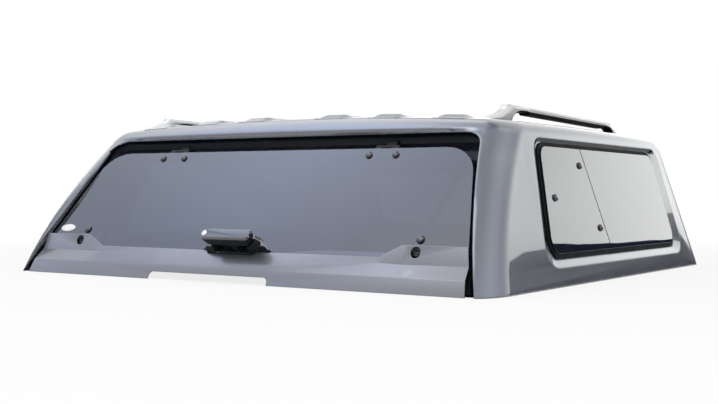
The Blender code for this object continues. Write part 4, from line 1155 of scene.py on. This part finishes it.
@dataclass
class Moulding:
    """The fibreglass shell with its lacquered skin, lining and pressed ribs."""

    form: HullForm = field(default_factory=HullForm)
    skin_reach: float = 2.0 * MM
    agree: float = math.cos(math.radians(32))
    door_up: Vector = field(default_factory=lambda: Vector((0, 0.70, 1)).normalized())
    door_out: Vector = field(default_factory=lambda: Vector((0, -1, 0.70)).normalized())
    rebate_depth: float = -0.032
    rebate_top: float = 0.500
    lip_depth: float = -0.004
    mouth_top: float = 0.4858
    mouth_half: float = 0.6373
    mouth_spread: float = 0.254
    mouth_round: float = 0.060
    window_box: tuple[float, float, float, float] = (0.03, 0.385, 0.25, 1.58)
    window_across: float = 0.6
    window_reach: float = 0.0115
    wall_reach: float = 4.0 * MM
    edge_on: float = 0.3
    slope_share: float = 0.3
    shaded_slope: float = 0.2
    inner_facing: float = -0.35
    roll_height: float = 0.018
    roll_turn: float = 2.4
    roll_fade: float = 0.08

    def build(self) -> None:
        """Make and place the moulding and its ribs."""
        shell = merged_copy("shell", "shell_moulding", Shading.CRISP, flatten=False)
        self.part_lip(shell)
        self.part_header(shell)
        for finish in (LACQUER, FLOWCOAT, REBATE):
            shell.data.materials.append(finish.material())
        self.polish(shell)
        place_piece(shell, "canopy", None, ["shell"])
        place_piece(RoofRibs(self.form).make(LACQUER), "canopy", None)

    def in_rebate(self, point: Vector) -> bool:
        """Whether a place lies in the rebate round the door, where the seal lands.

        Args:
            point: the place.

        Returns:
            True in the rebate.
        """
        offset = point - Vector((0, self.form.rear, 0))
        up, out = offset.dot(self.door_up), offset.dot(self.door_out)
        return self.rebate_depth < out < self.lip_depth and up < self.rebate_top

    def on_wall(self, point: Vector) -> bool:
        """Whether a place lies on the walls round the door, which are lacquered at their outer edge.

        Args:
            point: the place.

        Returns:
            True on the lacquered edge.
        """
        offset = point - Vector((0, self.form.rear, 0))
        up, out = offset.dot(self.door_up), offset.dot(self.door_out)
        beside = self.mouth_half + self.mouth_spread * (self.mouth_top - up) - abs(point.x)
        below = self.mouth_top - up
        inner = [max(self.mouth_round - gap, 0.0) for gap in (beside, below)]
        gap = self.mouth_round - math.hypot(*inner) if min(inner) > 0 else min(beside, below)
        return out > self.lip_depth and abs(gap) < self.wall_reach

    def in_window(self, point: Vector) -> bool:
        """Whether a place lies in the stretch of the sides that holds the windows."""
        low, high, start, end = self.window_box
        return (abs(point.x) > self.window_across and low < point.z < high
                and start < point.y - self.form.rear < end)

    def part_lip(self, shell: bpy.types.Object) -> None:
        """Split the walls of the rebate along its depth, where the lacquer ends and the near-black painted
        shade begins.

        Args:
            shell: the welded copy of the shell.
        """
        bm = bmesh.new()
        bm.from_mesh(shell.data)
        foot = Vector((0, self.form.rear, 0))
        walls = []
        for face in bm.faces:
            depths = [(v.co - foot).dot(self.door_out) for v in face.verts]
            heights = [(v.co - foot).dot(self.door_up) for v in face.verts]
            across = abs(face.normal.dot(self.door_out)) < self.edge_on
            cut = self.rebate_depth < min(depths) < self.lip_depth < max(depths)
            if across and cut and max(heights) < self.rebate_top:
                walls.append(face)
        around = {e for f in walls for e in f.edges} | {v for f in walls for v in f.verts} | set(walls)
        bmesh.ops.bisect_plane(bm, geom=list(around), plane_co=foot + self.door_out * self.lip_depth,
                               plane_no=self.door_out)
        bmesh.ops.triangulate(bm, faces=[f for f in bm.faces if len(f.verts) > 4])
        bm.to_mesh(shell.data)
        bm.free()

    def part_header(self, shell: bpy.types.Object) -> None:
        """Split the header's skin a little above the door, where its lower edge starts to roll under.

        Args:
            shell: the welded copy of the shell.
        """
        bm = bmesh.new()
        bm.from_mesh(shell.data)
        foot = Vector((0, self.form.rear, 0))
        line = foot + self.door_up * (self.mouth_top + self.roll_height)
        skin = []
        for face in bm.faces:
            heights = [(v.co - line).dot(self.door_up) for v in face.verts]
            cut = -2.5 * self.roll_height < min(heights) < 0 < max(heights)
            if face.normal.dot(self.door_out) > 0.5 and cut:
                skin.append(face)
        around = {e for f in skin for e in f.edges} | {v for f in skin for v in f.verts} | set(skin)
        bmesh.ops.bisect_plane(bm, geom=list(around), plane_co=line, plane_no=self.door_up)
        bmesh.ops.triangulate(bm, faces=[f for f in bm.faces if len(f.verts) > 4])
        bm.to_mesh(shell.data)
        bm.free()

    def rolled(self, point: Vector, normal: Vector) -> Vector:
        """The normal at the header's lower edge, turned under as on a rolled lip.

        Args:
            point: a place of the skin.
            normal: the skin's own normal there.

        Returns:
            The normal to shade with.
        """
        up = (point - Vector((0, self.form.rear, 0))).dot(self.door_up)
        below = 1 - (up - self.mouth_top) / self.roll_height
        beside = (self.mouth_half - self.mouth_round - abs(point.x)) / self.roll_fade
        share = min(max(below, 0.0), 1.0) * min(max(beside, 0.0), 1.0)
        return (normal - self.door_up * self.roll_turn * share).normalized()

    def polish(self, shell: bpy.types.Object) -> None:
        """Give the skin the form's exact normals, the faces behind it the lining, and the rebate and the
        recess slopes that face down or forward the near-black painted shade.

        Args:
            shell: the welded copy of the shell.
        """
        reference = self.form.reference()
        mesh = shell.data
        custom = [(0.0, 0.0, 0.0)] * len(mesh.loops)
        near = [reference.nearest(vertex.co) for vertex in mesh.vertices]
        for face in mesh.polygons:
            hits = [near[i] for i in face.vertices]
            facing = sum(face.normal.dot(normal) for normal, _ in hits) / len(hits)
            if all(distance < self.skin_reach for _, distance in hits) and facing > self.agree:
                for loop in face.loop_indices:
                    vertex = mesh.loops[loop].vertex_index
                    custom[loop] = tuple(self.rolled(mesh.vertices[vertex].co, near[vertex][0]))
            elif (self.in_window(face.center) and hits[0][1] < self.window_reach
                  and abs(face.normal.x) > self.edge_on):
                # Recess slopes that face down or forward get the near-black gelcoat: painted shade.
                if face.normal.z < -self.shaded_slope or face.normal.y > self.shaded_slope:
                    face.material_index = Layer.REBATE.value
                else:
                    for loop in face.loop_indices:
                        normal = near[mesh.loops[loop].vertex_index][0]
                        custom[loop] = tuple((normal + face.normal * self.slope_share).normalized())
            # The rebate round the door gets the near-black gelcoat: painted shade.
            elif self.in_rebate(face.center):
                face.material_index = Layer.REBATE.value
            elif facing < self.inner_facing and not self.on_wall(face.center):
                face.material_index = Layer.LINING.value
        mesh.normals_split_custom_set(custom)


# The rear door


@dataclass
class RearDoor:
    """Frameless glass with its painted skirt, hinges, caps, latches and bulb seal."""

    lean: float = 0.70
    rear: float = -0.8045
    glass_top: float = 0.357
    half_at_top: float = 0.632
    spread: float = 0.254
    top_round: float = 0.100
    landing: float = -0.0253
    hinge_bolts: tuple[float, float] = (0.326, 0.409)
    hinge_bolt_height: float = 0.339
    stud: Point2 = (0.571, 0.127)
    label_place: Point2 = (-0.658, 0.130)
    label_half: Point2 = (0.029, 0.0125)
    label_dome: tuple[Point2, ...] = ((1.0, 0.0002), (1.0, 0.0010), (0.96, 0.0016), (0.86, 0.0020),
                                      (0.5, 0.0023), (0.1, 0.0024))
    skirt_edge: float = 2.4 * MM
    seal_low: float = 0.0049
    seal_grow: Point2 = (-0.003, -0.0135)
    seal_lift: float = 0.3 * MM
    clip: tuple[Point2, ...] = ((0.0068, 0.0), (0.0068, 0.0035), (0.0050, 0.0048))
    bulb: Point2 = (0.0066, 0.0054)
    bulb_centre: float = 0.0070

    def __post_init__(self) -> None:
        """Set the door's plane."""
        self.plane = Plane.of((0, self.rear, 0), (1, 0, 0), (0, self.lean, 1), (0, -1, self.lean))
        self.slope = math.hypot(1, self.lean)

    def build(self) -> None:
        """Make and place every piece of the door."""
        coat_nodes(GLASS, "door_glass")
        skirt = merged_copy("door_skirt", "door_skirt_moulding", Shading.CRISP)
        place_piece(bevelled(skirt, self.skirt_edge, 3, 20.0), "rear_door", SKIRT_LACQUER,
                    ["door_skirt"])
        smooth(skirt, Shading.CRISP)
        self.seal()
        self.caps()
        self.label()
        for side in Side:
            for part, body in (("hinge_leaf", "rear_door"), ("hinge_base", "canopy"),
                               ("strut_stud", "rear_door"), ("latch", "rear_door")):
                node = f"{part}_{side.label}"
                piece = merged_copy(node, f"{part}_steel_{side.label}", Shading.CRISP)
                place_piece(piece, body, DIPPED_STEEL, [node])

    def outline(self, grow: float, top_grow: float, low: float, steps: int = 24) -> list[Point2]:
        """The door's edge as an open line, up the left, over the top and down the right.

        Args:
            grow: how far outside the glass the line runs.
            top_grow: the same along the top.
            low: where the line starts up the plane.
            steps: pieces in each rounded corner.

        Returns:
            Points on the door's plane.
        """
        top = self.glass_top * self.slope
        half_top = self.half_at_top + grow - self.spread * top_grow
        half_low = self.half_at_top + grow + self.spread * (top - low)
        high = top + top_grow
        corners = [(-half_low, low), (-half_top, high), (half_top, high), (half_low, low)]
        line = [corners[0]]
        for i in (1, 2):
            line += fillet(corners[i - 1], corners[i], corners[i + 1], self.top_round + grow, steps)
        return line + [corners[3]]

    def seal(self) -> None:
        """Bulb seal: a clipped foot with a round hollow-looking bulb, swept round the opening."""
        low = self.seal_low - self.landing * self.lean
        line = self.outline(*self.seal_grow, low)
        turns = [math.radians(degrees) for degrees in range(-10, 191, 20)]
        bulb = [(self.bulb[0] * math.cos(t), self.bulb_centre + self.bulb[1] * math.sin(t)) for t in turns]
        mirrored = [(-u, v) for u, v in reversed(self.clip)]
        section = [mirrored[-1], *self.clip, *bulb, *mirrored[:-1]]
        loops = []
        for i, (a, b) in enumerate(line):
            before, after = Vector(line[max(i - 1, 0)]), Vector(line[min(i + 1, len(line) - 1)])
            along = (after - before).normalized()
            outward = Vector((-along.y, along.x))
            loops.append([self.plane.at(a + outward.x * u, b + outward.y * u,
                                        self.landing + self.seal_lift + v) for u, v in section])
        place_piece(smooth(loft("rear_door_bulb_seal", loops), Shading.SOFT), "canopy", RUBBER,
                    ["rear_door_seal"])

    def caps(self) -> None:
        """Domed black caps over the six bolts that hold hinges and struts to the glass."""
        out, lift = self.plane.out, 0.1 * MM
        high = self.hinge_bolt_height * self.slope
        spots = [(self.plane.at(side.value * bolt, high, lift), out)
                 for side in Side for bolt in self.hinge_bolts]
        heads = Fasteners("hinge_bolt_caps", 0.0100, 0.0066, CAP_PROFILE)
        heads.make(spots, CAP_PLASTIC, "rear_door", "black_plastic")
        across, high = self.stud[0], self.stud[1] * self.slope
        spots = [(self.plane.at(side.value * across, high, lift), out) for side in Side]
        heads = Fasteners("strut_bolt_caps", 0.0116, 0.0068, CAP_PROFILE)
        heads.make(spots, CAP_PLASTIC, "rear_door", "black_plastic")

    def label(self) -> None:
        """Blank oval badge, softly domed, on the glass."""
        centre_across, centre_up = self.label_place[0], self.label_place[1] * self.slope
        loops = []
        for share, out in self.label_dome:
            loops.append([self.plane.at(centre_across + self.label_half[0] * share * math.cos(t),
                                        centre_up + self.label_half[1] * share * math.sin(t), out)
                          for t in (2 * math.pi * k / 48 for k in range(48))])
        badge = smooth(loft("blank_oval_badge", loops), Shading.SOFT)
        place_piece(badge, "rear_door", LABEL)


@dataclass
class Handle:
    """Folding T handle with a key lock, on its pointed base plate."""

    base_edge: float = 1.6 * MM
    grip_edge: float = 2.5 * MM
    lock_edge: float = 0.6 * MM
    base_lit_face: tuple[float, float, float] = (0.0, 0.0, 1.0)
    base_least: float = 0.35
    grip_lit_face: tuple[float, float, float] = (0.0, -0.819, 0.573)
    grip_least: float = 0.55

    def build(self) -> None:
        """Make and place base, grip and lock."""
        base = merged_copy("handle_base", "handle_base_moulding", Shading.CRISP)
        base = bevelled(base, self.base_edge, 3)
        self.polish(base, Vector(self.base_lit_face), self.base_least)
        place_piece(smooth(base, Shading.CRISP), "rear_door", None, ["handle_base"])
        grip = merged_copy("handle_grip", "handle_grip_moulding", Shading.SOFT)
        grip = bevelled(grip, self.grip_edge, 4)
        self.polish(grip, Vector(self.grip_lit_face), self.grip_least)
        place_piece(smooth(grip, Shading.SOFT), "door_handle", None, ["handle_grip"])
        lock = merged_copy("lock_barrel", "lock_barrel_turned", Shading.SOFT)
        lock = bevelled(lock, self.lock_edge, 3)
        place_piece(smooth(lock, Shading.SOFT), "door_handle", CHROME, ["lock_barrel"])

    def polish(self, obj: bpy.types.Object, way: Vector, least: float) -> None:
        """Faces that turn one way get the lighter, glossy plastic as painted highlight; the rest get the
        darker, dull plastic as painted shade.

        Args:
            obj: the piece.
            way: the direction that the glossy faces turn to.
            least: how closely they do, as a cosine.
        """
        obj.data.materials.append(SHADED_FACE_PLASTIC.material())
        obj.data.materials.append(LIT_FACE_PLASTIC.material())
        for face in obj.data.polygons:
            # Lit and shaded copies of one plastic, chosen by facing: painted highlight and painted shade.
            face.material_index = 1 if face.normal.dot(way) > least else 0


# Side windows


@dataclass
class SideWindow:
    """Two bonded panes with a slanted split in a rubber-lined recess."""

    side: Side
    half_width: float = 0.800
    lean: float = 0.25
    rear: float = -0.8045
    cap_foot: float = -0.0018
    pane_edge: float = 0.6 * MM
    caps: tuple[Point2, ...] = ((0.722, 0.319), (0.773, 0.144), (0.502, 0.229))

    def __post_init__(self) -> None:
        """Set the side's plane."""
        s = self.side.value
        self.plane = Plane.of((s * self.half_width, self.rear, 0), (0, 1, 0), (-s * self.lean, 0, 1),
                              (s, 0, self.lean))

    def build(self) -> None:
        """Make and place the panes, the seal and the caps."""
        label = self.side.label
        coat_nodes(RUBBER, f"side_window_seal_{label}")
        for part in ("rear", "front"):
            node = f"side_glass_{part}_{label}"
            pane = merged_copy(node, f"side_pane_{part}_{label}", Shading.CRISP)
            pane = bevelled(pane, self.pane_edge, 2)
            place_piece(smooth(pane, Shading.CRISP), "canopy", GLASS, [node])
        stretch = math.hypot(1, self.lean)
        spots = [(self.plane.at(station, height * stretch, self.cap_foot), self.plane.out)
                 for station, height in self.caps]
        heads = Fasteners(f"side_pane_caps_{label}", 0.0100, 0.0066, CAP_PROFILE)
        caps = heads.make(spots, CAP_PLASTIC, "canopy", "black_plastic")
        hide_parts(*[f"side_window_cap_{place}_{label}" for place in ("upper", "lower", "latch")])


@dataclass
class RoofRail:
    """Raised rail: cast feet with black rubber on their downward faces, gasket at the bottom and painted
    shade on the rest, an extruded bar with a groove, and a black strip of painted shade under the bar.
    """

    side: Side
    across: float = 0.612
    half_width: float = 0.0163
    start: float = 0.5855
    end: float = 1.1427
    rear: float = -0.8045
    rear_top: float = 0.480
    front_top: float = 0.467
    ends: Point2 = (0.350, 1.293)
    cover: float = 0.0118
    drop: float = 0.0215
    strip_edge: float = 1.5 * MM
    gasket_and_shade_facing: float = -0.12

    def build(self) -> None:
        """Make and place the three pieces of one rail and the black painted-shade strip under its bar."""
        label = self.side.label
        bar = merged_copy(f"roof_rail_bar_{label}", f"extruded_rail_bar_{label}", Shading.SOFT)
        place_piece(bar, "canopy", ALUMINIUM, [f"roof_rail_bar_{label}"])
        for part in ("rear", "front"):
            node = f"roof_rail_{part}_foot_{label}"
            foot = merged_copy(node, f"cast_rail_foot_{part}_{label}", Shading.SOFT)
            foot.data.materials.append(ALUMINIUM.material())
            foot.data.materials.append(RUBBER.material())
            # Downward faces take black rubber: a gasket at the foot's bottom, and painted shade on the
            # other faces that look down.
            for face in foot.data.polygons:
                face.material_index = 1 if face.normal.z < self.gasket_and_shade_facing else 0
            place_piece(foot, "canopy", None, [node])
        self.insert()

    def top(self, station: float) -> float:
        """Height of the rail's top at a station."""
        share = (station - self.ends[0]) / (self.ends[1] - self.ends[0])
        return self.rear_top + (self.front_top - self.rear_top) * share

    def insert(self) -> None:
        """Black strip along the underside of the bar, standing in for its shade: painted shade."""
        middle = self.side.value * self.across
        edge = self.strip_edge
        loops = []
        for station in (self.start, self.end):
            high, low = self.top(station) - self.cover, self.top(station) - self.drop
            section = rounded([(middle - self.half_width, low), (middle + self.half_width, low),
                               (middle + self.half_width, high), (middle - self.half_width, high)],
                              (4 * edge, 4 * edge, edge / 5, edge / 5), 6)
            loops.append([Vector((x, self.rear + station, z)) for x, z in section])
        strip = smooth(loft(f"rail_bar_rubber_{self.side.label}", loops), Shading.SOFT)
        # The strip wears the seals' black rubber as painted shade.
        place_piece(strip, "canopy", RUBBER)


@dataclass
class GasStrut:
    """Gas strut: lacquered tube, chromed rod, and the pressed bracket that carries it."""

    side: Side
    tube_edge: float = 0.8 * MM

    def build(self) -> None:
        """Make and place tube, rod and bracket."""
        label = self.side.label
        tube = merged_copy(f"strut_tube_{label}", f"gas_tube_{label}", Shading.SOFT)
        tube = bevelled(tube, self.tube_edge, 2)
        place_piece(smooth(tube, Shading.SOFT), f"strut_tube_body_{label}", DIPPED_STEEL,
                    [f"strut_tube_{label}"])
        rod = merged_copy(f"strut_rod_{label}", f"gas_rod_{label}", Shading.SOFT)
        place_piece(rod, f"strut_rod_body_{label}", CHROME, [f"strut_rod_{label}"])
        bracket = merged_copy(f"strut_bracket_{label}", f"pressed_bracket_{label}", Shading.CRISP)
        place_piece(bracket, "canopy", DIPPED_STEEL, [f"strut_bracket_{label}"])


# The studio


@dataclass
class Studio:
    """White studio: pale floor, even world, a soft lamp overhead and a painted dome for reflections.

    The dome stands for the open sky and the dark land line that the paint and the glass mirror. Its
    tones go round from behind the canopy by its left, ahead and right, from zero to one. Haze, gloom
    and glow each hold two heights on the unit dome and the share of light lost below and above them.
    """

    eye: tuple[float, float, float] = (1.9332, -3.0615, 0.2380)
    yaw: float = 0.5811
    pitch: float = -0.0077
    roll: float = 0.0048
    focal_px: float = 1120.58
    width_px: int = 718
    sensor_mm: float = 36.0
    world_level: float = 0.80
    floor_level: float = 0.80
    floor_fade: Point2 = (1.2, 3.2)
    lamp_size: Point2 = (2.6, 1.6)
    lamp_watts: float = 22.0
    lamp_place: tuple[float, float, float] = (0.3, -2.2, 3.0)
    lamp_aim: tuple[float, float, float] = (0.1, 0.1, 0.2)
    dome_radius: float = 45.0
    sky_strength: float = 3.1
    sky: tuple[tuple[float, str], ...] = (
        (0.0, "#A1A3A7"), (0.05, "#B0B2B7"), (0.09, "#D2D4D9"), (0.127, "#D7D9E2"),
        (0.16, "#C8CFE4"), (0.183, "#D7E2FD"), (0.203, "#DBE4F9"), (0.22, "#E0E5F2"),
        (0.243, "#E6E8EC"), (0.44, "#DBDBDB"), (0.52, "#CBCCCB"), (0.575, "#CBCCCB"),
        (0.588, "#B7B8BA"), (0.596, "#A7AAAD"), (0.608, "#9D9FA5"), (0.63, "#989BA1"),
        (0.85, "#96999F"))
    zenith: str = "#95989E"
    land_tone: str = "#090B18"
    right_share: tuple[tuple[float, str], ...] = (
        (0.0, "#000000"), (0.62, "#000000"), (0.68, "#FFFFFF"), (0.95, "#FFFFFF"), (1.0, "#000000"))
    left_share: tuple[tuple[float, str], ...] = (
        (0.0, "#000000"), (0.07, "#FFFFFF"), (0.38, "#FFFFFF"), (0.44, "#000000"))
    edge_lean: float = 0.14
    edge_level: float = 0.32
    overhead: Point2 = (0.86, 0.94)
    haze: tuple[float, float, float, float] = (0.17, 0.42, 0.0, 0.42)
    gloom: tuple[float, float, float, float] = (0.62, 0.80, 0.45, 0.0)
    glow: tuple[float, float, float, float] = (0.45, 0.88, -0.45, 0.0)
    land_turn: Point2 = (0.9135, 0.9613)
    land_side: float = 0.151
    land_ahead: float = 0.096
    land_rough: float = 0.012

    def build(self) -> None:
        """Set up camera, world, floor, lamp and reflection dome."""
        self.camera()
        self.world()
        self.floor()
        self.lamps()
        self.dome()
        settings = bpy.context.scene.view_settings
        settings.view_transform = "Standard"

    def camera(self) -> None:
        """The camera at the photograph's place and angle."""
        forward = Vector((-math.sin(self.yaw) * math.cos(self.pitch),
                          math.cos(self.yaw) * math.cos(self.pitch), math.sin(self.pitch)))
        level = Vector((math.cos(self.yaw), math.sin(self.yaw), 0))
        above = level.cross(forward)
        right = math.cos(self.roll) * level + math.sin(self.roll) * above
        up = -math.sin(self.roll) * level + math.cos(self.roll) * above
        data = bpy.data.cameras.new("portrait_lens")
        data.sensor_width = self.sensor_mm
        data.lens = self.focal_px / self.width_px * self.sensor_mm
        data.clip_end = 200.0
        camera = bpy.data.objects.new("portrait_camera", data)
        turn = Matrix((right, up, -forward)).transposed()
        camera.matrix_world = Matrix.Translation(self.eye) @ turn.to_4x4()
        bpy.context.scene.collection.objects.link(camera)
        bpy.context.scene.camera = camera

    def seen(self, tree: bpy.types.NodeTree) -> Socket:
        """One for camera, glossy and transmission rays, which see the white backdrop, else zero.

        Args:
            tree: the tree that asks.

        Returns:
            The share's output.
        """
        path = add_node(tree, "ShaderNodeLightPath")
        both = maths(tree, "MAXIMUM", path.outputs["Is Camera Ray"], path.outputs["Is Glossy Ray"])
        return maths(tree, "MAXIMUM", both, path.outputs["Is Transmission Ray"])

    def world(self) -> None:
        """An even world: white to the eye and in reflections, a plain level on the object."""
        world = bpy.data.worlds.new("even_dome")
        world.use_nodes = True
        tree = world.node_tree
        tree.nodes.clear()
        strength = add_node(tree, "ShaderNodeMapRange", {"To Min": self.world_level, "To Max": 1.0},
                            {"Value": self.seen(tree)})
        light = add_node(tree, "ShaderNodeBackground", {"Color": (1, 1, 1, 1)},
                         {"Strength": strength.outputs["Result"]})
        add_node(tree, "ShaderNodeOutputWorld", links={"Surface": light.outputs["Background"]})
        bpy.context.scene.world = world

    def floor(self) -> None:
        """A wide pale floor that keeps the canopy's soft shadow."""
        bm = bmesh.new()
        bmesh.ops.create_circle(bm, cap_ends=True, segments=96, radius=60.0)
        obj = new_object("studio_floor", bm, outward=False)
        paint = bpy.data.materials.new("pale_studio_floor")
        paint.use_nodes = True
        tree = paint.node_tree
        tree.nodes.clear()
        matt = add_node(tree, "ShaderNodeBsdfDiffuse", {"Color": linear("#F4F4F4")})
        glow = add_node(tree, "ShaderNodeEmission", {"Color": (1, 1, 1, 1), "Strength": 1.0})
        place = add_node(tree, "ShaderNodeTexCoord").outputs["Object"]
        reach = add_node(tree, "ShaderNodeVectorMath", links={0: place}, operation="LENGTH")
        fade = self.eased(tree, reach.outputs["Value"], *self.floor_fade, self.floor_level, 1.0)
        share = maths(tree, "MULTIPLY", self.seen(tree), fade)
        both = add_node(tree, "ShaderNodeMixShader",
                        links={0: share, 1: matt.outputs["BSDF"], 2: glow.outputs["Emission"]})
        add_node(tree, "ShaderNodeOutputMaterial", links={"Surface": both.outputs["Shader"]})
        obj.data.materials.append(paint)

    def lamps(self) -> None:
        """One large softbox, above and behind the rear door."""
        data = bpy.data.lights.new("overhead_softbox", "AREA")
        data.shape = "RECTANGLE"
        data.size, data.size_y = self.lamp_size
        data.energy = self.lamp_watts
        lamp = bpy.data.objects.new("overhead_softbox", data)
        lamp.location = self.lamp_place
        aim = Vector(self.lamp_aim) - lamp.location
        lamp.rotation_euler = aim.to_track_quat("-Z", "Y").to_euler()
        bpy.context.scene.collection.objects.link(lamp)

    def ramp(self, tree: bpy.types.NodeTree, turn: Socket, stops: tuple[tuple[float, str], ...]) -> Socket:
        """Tones by direction, from behind the canopy by its left, ahead and right round again.

        Args:
            tree: the dome's tree.
            turn: the direction, from zero to one.
            stops: each tone's place and hex colour.

        Returns:
            The colour output.
        """
        node = add_node(tree, "ShaderNodeValToRGB", links={"Fac": turn})
        for index, (place, colour) in enumerate(stops):
            stop = node.color_ramp.elements[index] if index < 2 else node.color_ramp.elements.new(place)
            stop.position = place
            stop.color = linear(colour)
        return node.outputs["Color"]

    def eased(self, tree: bpy.types.NodeTree, value: Socket, start: float, end: float,
              low: float = 0.0, high: float = 1.0) -> Socket:
        """A soft step from one level to another between two values.

        Args:
            tree: the tree that gets the nodes.
            value: the value that is followed.
            start: where the step starts.
            end: where it ends.
            low: the level before it.
            high: the level after it.

        Returns:
            The level's output.
        """
        return add_node(tree, "ShaderNodeMapRange",
                        {"From Min": start, "From Max": end, "To Min": low, "To Max": high},
                        {"Value": value}, interpolation_type="SMOOTHSTEP").outputs["Result"]

    def blend(self, tree: bpy.types.NodeTree, share: Socket, first: Socket, second: str) -> Socket:
        """Mix a colour output with a plain tone.

        Args:
            tree: the tree that gets the node.
            share: share of the plain tone.
            first: the colour output.
            second: hex colour of the plain tone.

        Returns:
            The colour output.
        """
        mix = add_node(tree, "ShaderNodeMix", data_type="RGBA")
        mix.inputs[7].default_value = linear(second)
        tree.links.new(first, mix.inputs[6])
        tree.links.new(share, mix.inputs[0])
        return mix.outputs[2]

    def dome(self) -> None:
        """A painted cloth dome that only reflections see: open sky with a dark land line at its foot."""
        bm = bmesh.new()
        bmesh.ops.create_uvsphere(bm, u_segments=96, v_segments=48, radius=self.dome_radius)
        obj = new_object("reflection_dome", bm, outward=False)
        paint = bpy.data.materials.new("painted_dome_cloth")
        paint.use_nodes = True
        tree = paint.node_tree
        tree.nodes.clear()
        place = add_node(tree, "ShaderNodeTexCoord").outputs["Object"]
        unit = add_node(tree, "ShaderNodeVectorMath", links={0: place},
                        operation="NORMALIZE").outputs["Vector"]
        split = add_node(tree, "ShaderNodeSeparateXYZ", links={"Vector": unit})
        height = split.outputs["Z"]
        angle = maths(tree, "ARCTAN2", split.outputs["X"], split.outputs["Y"])
        turn = maths(tree, "MULTIPLY_ADD", angle, 0.5 / math.pi, 0.5)
        ahead = maths(tree, "COSINE", angle)
        colour = self.sky_tones(tree, turn, height)
        colour = self.blend(tree, self.land(tree, unit, height, ahead), colour, self.land_tone)
        strength = self.sky_levels(tree, turn, height, ahead)
        cloth = add_node(tree, "ShaderNodeEmission", links={"Color": colour, "Strength": strength})
        add_node(tree, "ShaderNodeOutputMaterial", links={"Surface": cloth.outputs["Emission"]})
        obj.data.materials.append(paint)
        for ray in ("camera", "diffuse", "transmission", "volume_scatter", "shadow"):
            setattr(obj, f"visible_{ray}", False)

    def sky_tones(self, tree: bpy.types.NodeTree, turn: Socket, height: Socket) -> Socket:
        """The sky's colours: a ramp round the horizon whose right edge leans, and one tone overhead.

        Args:
            tree: the dome's tree.
            turn: the direction, from zero to one.
            height: height on the unit dome.

        Returns:
            The colour output.
        """
        right = self.eased(tree, turn, 0.50, 0.56)
        above = maths(tree, "MAXIMUM", maths(tree, "SUBTRACT", height, self.edge_level), 0.0)
        lean = maths(tree, "MULTIPLY", above, -self.edge_lean)
        leaned = maths(tree, "MULTIPLY_ADD", lean, right, turn)
        above = self.eased(tree, height, *self.overhead)
        return self.blend(tree, above, self.ramp(tree, leaned, self.sky), self.zenith)

    def land(self, tree: bpy.types.NodeTree, unit: Socket, height: Socket, ahead: Socket) -> Socket:
        """Where the land is: below a ragged line that is lower straight ahead.

        Args:
            tree: the dome's tree.
            unit: place on the unit dome.
            height: height on it.
            ahead: cosine of the angle to straight ahead.

        Returns:
            One on the land, else zero.
        """
        ragged = add_node(tree, "ShaderNodeTexNoise", {"Scale": 14.0, "Detail": 4.0}, {"Vector": unit})
        first, last = self.land_turn
        limit = add_node(tree, "ShaderNodeMapRange",
                         {"From Min": first, "From Max": last, "To Min": self.land_side,
                          "To Max": self.land_ahead}, {"Value": ahead}).outputs["Result"]
        line = maths(tree, "MULTIPLY_ADD", ragged.outputs["Fac"], self.land_rough, limit)
        return maths(tree, "LESS_THAN", height, line)

    def sky_levels(self, tree: bpy.types.NodeTree, turn: Socket, height: Socket, ahead: Socket) -> Socket:
        """The sky's strength: less high up ahead and low down on the left, more low down on the right.

        Args:
            tree: the dome's tree.
            turn: the direction, from zero to one.
            height: height on the unit dome.
            ahead: cosine of the angle to straight ahead.

        Returns:
            The strength's output.
        """
        haze = maths(tree, "MULTIPLY", self.eased(tree, height, *self.haze),
                     self.eased(tree, ahead, 0.60, 0.90))
        gloom = maths(tree, "MULTIPLY", self.eased(tree, height, *self.gloom),
                      self.ramp(tree, turn, self.left_share))
        glow = maths(tree, "MULTIPLY", self.eased(tree, height, *self.glow),
                     self.ramp(tree, turn, self.right_share))
        loss = maths(tree, "ADD", maths(tree, "ADD", haze, gloom), glow)
        return maths(tree, "MULTIPLY_ADD", loss, -self.sky_strength, self.sky_strength)


@dataclass
class FrontWindow:
    """Fixed pane bonded over the front wall on its rubber."""

    def build(self) -> None:
        """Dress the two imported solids."""
        coat_nodes(GLASS, "front_window_glass")
        coat_nodes(RUBBER, "front_window_seal")


def main() -> None:
    """Dress the canopy and set up the studio."""
    logging.basicConfig(level=logging.INFO, format="%(name)s: %(message)s")
    Studio().build()
    Moulding().build()
    FrontWindow().build()
    RearDoor().build()
    Handle().build()
    for side in Side:
        SideWindow(side).build()
        RoofRail(side).build()
        GasStrut(side).build()


if __name__ == "__main__":
    main()
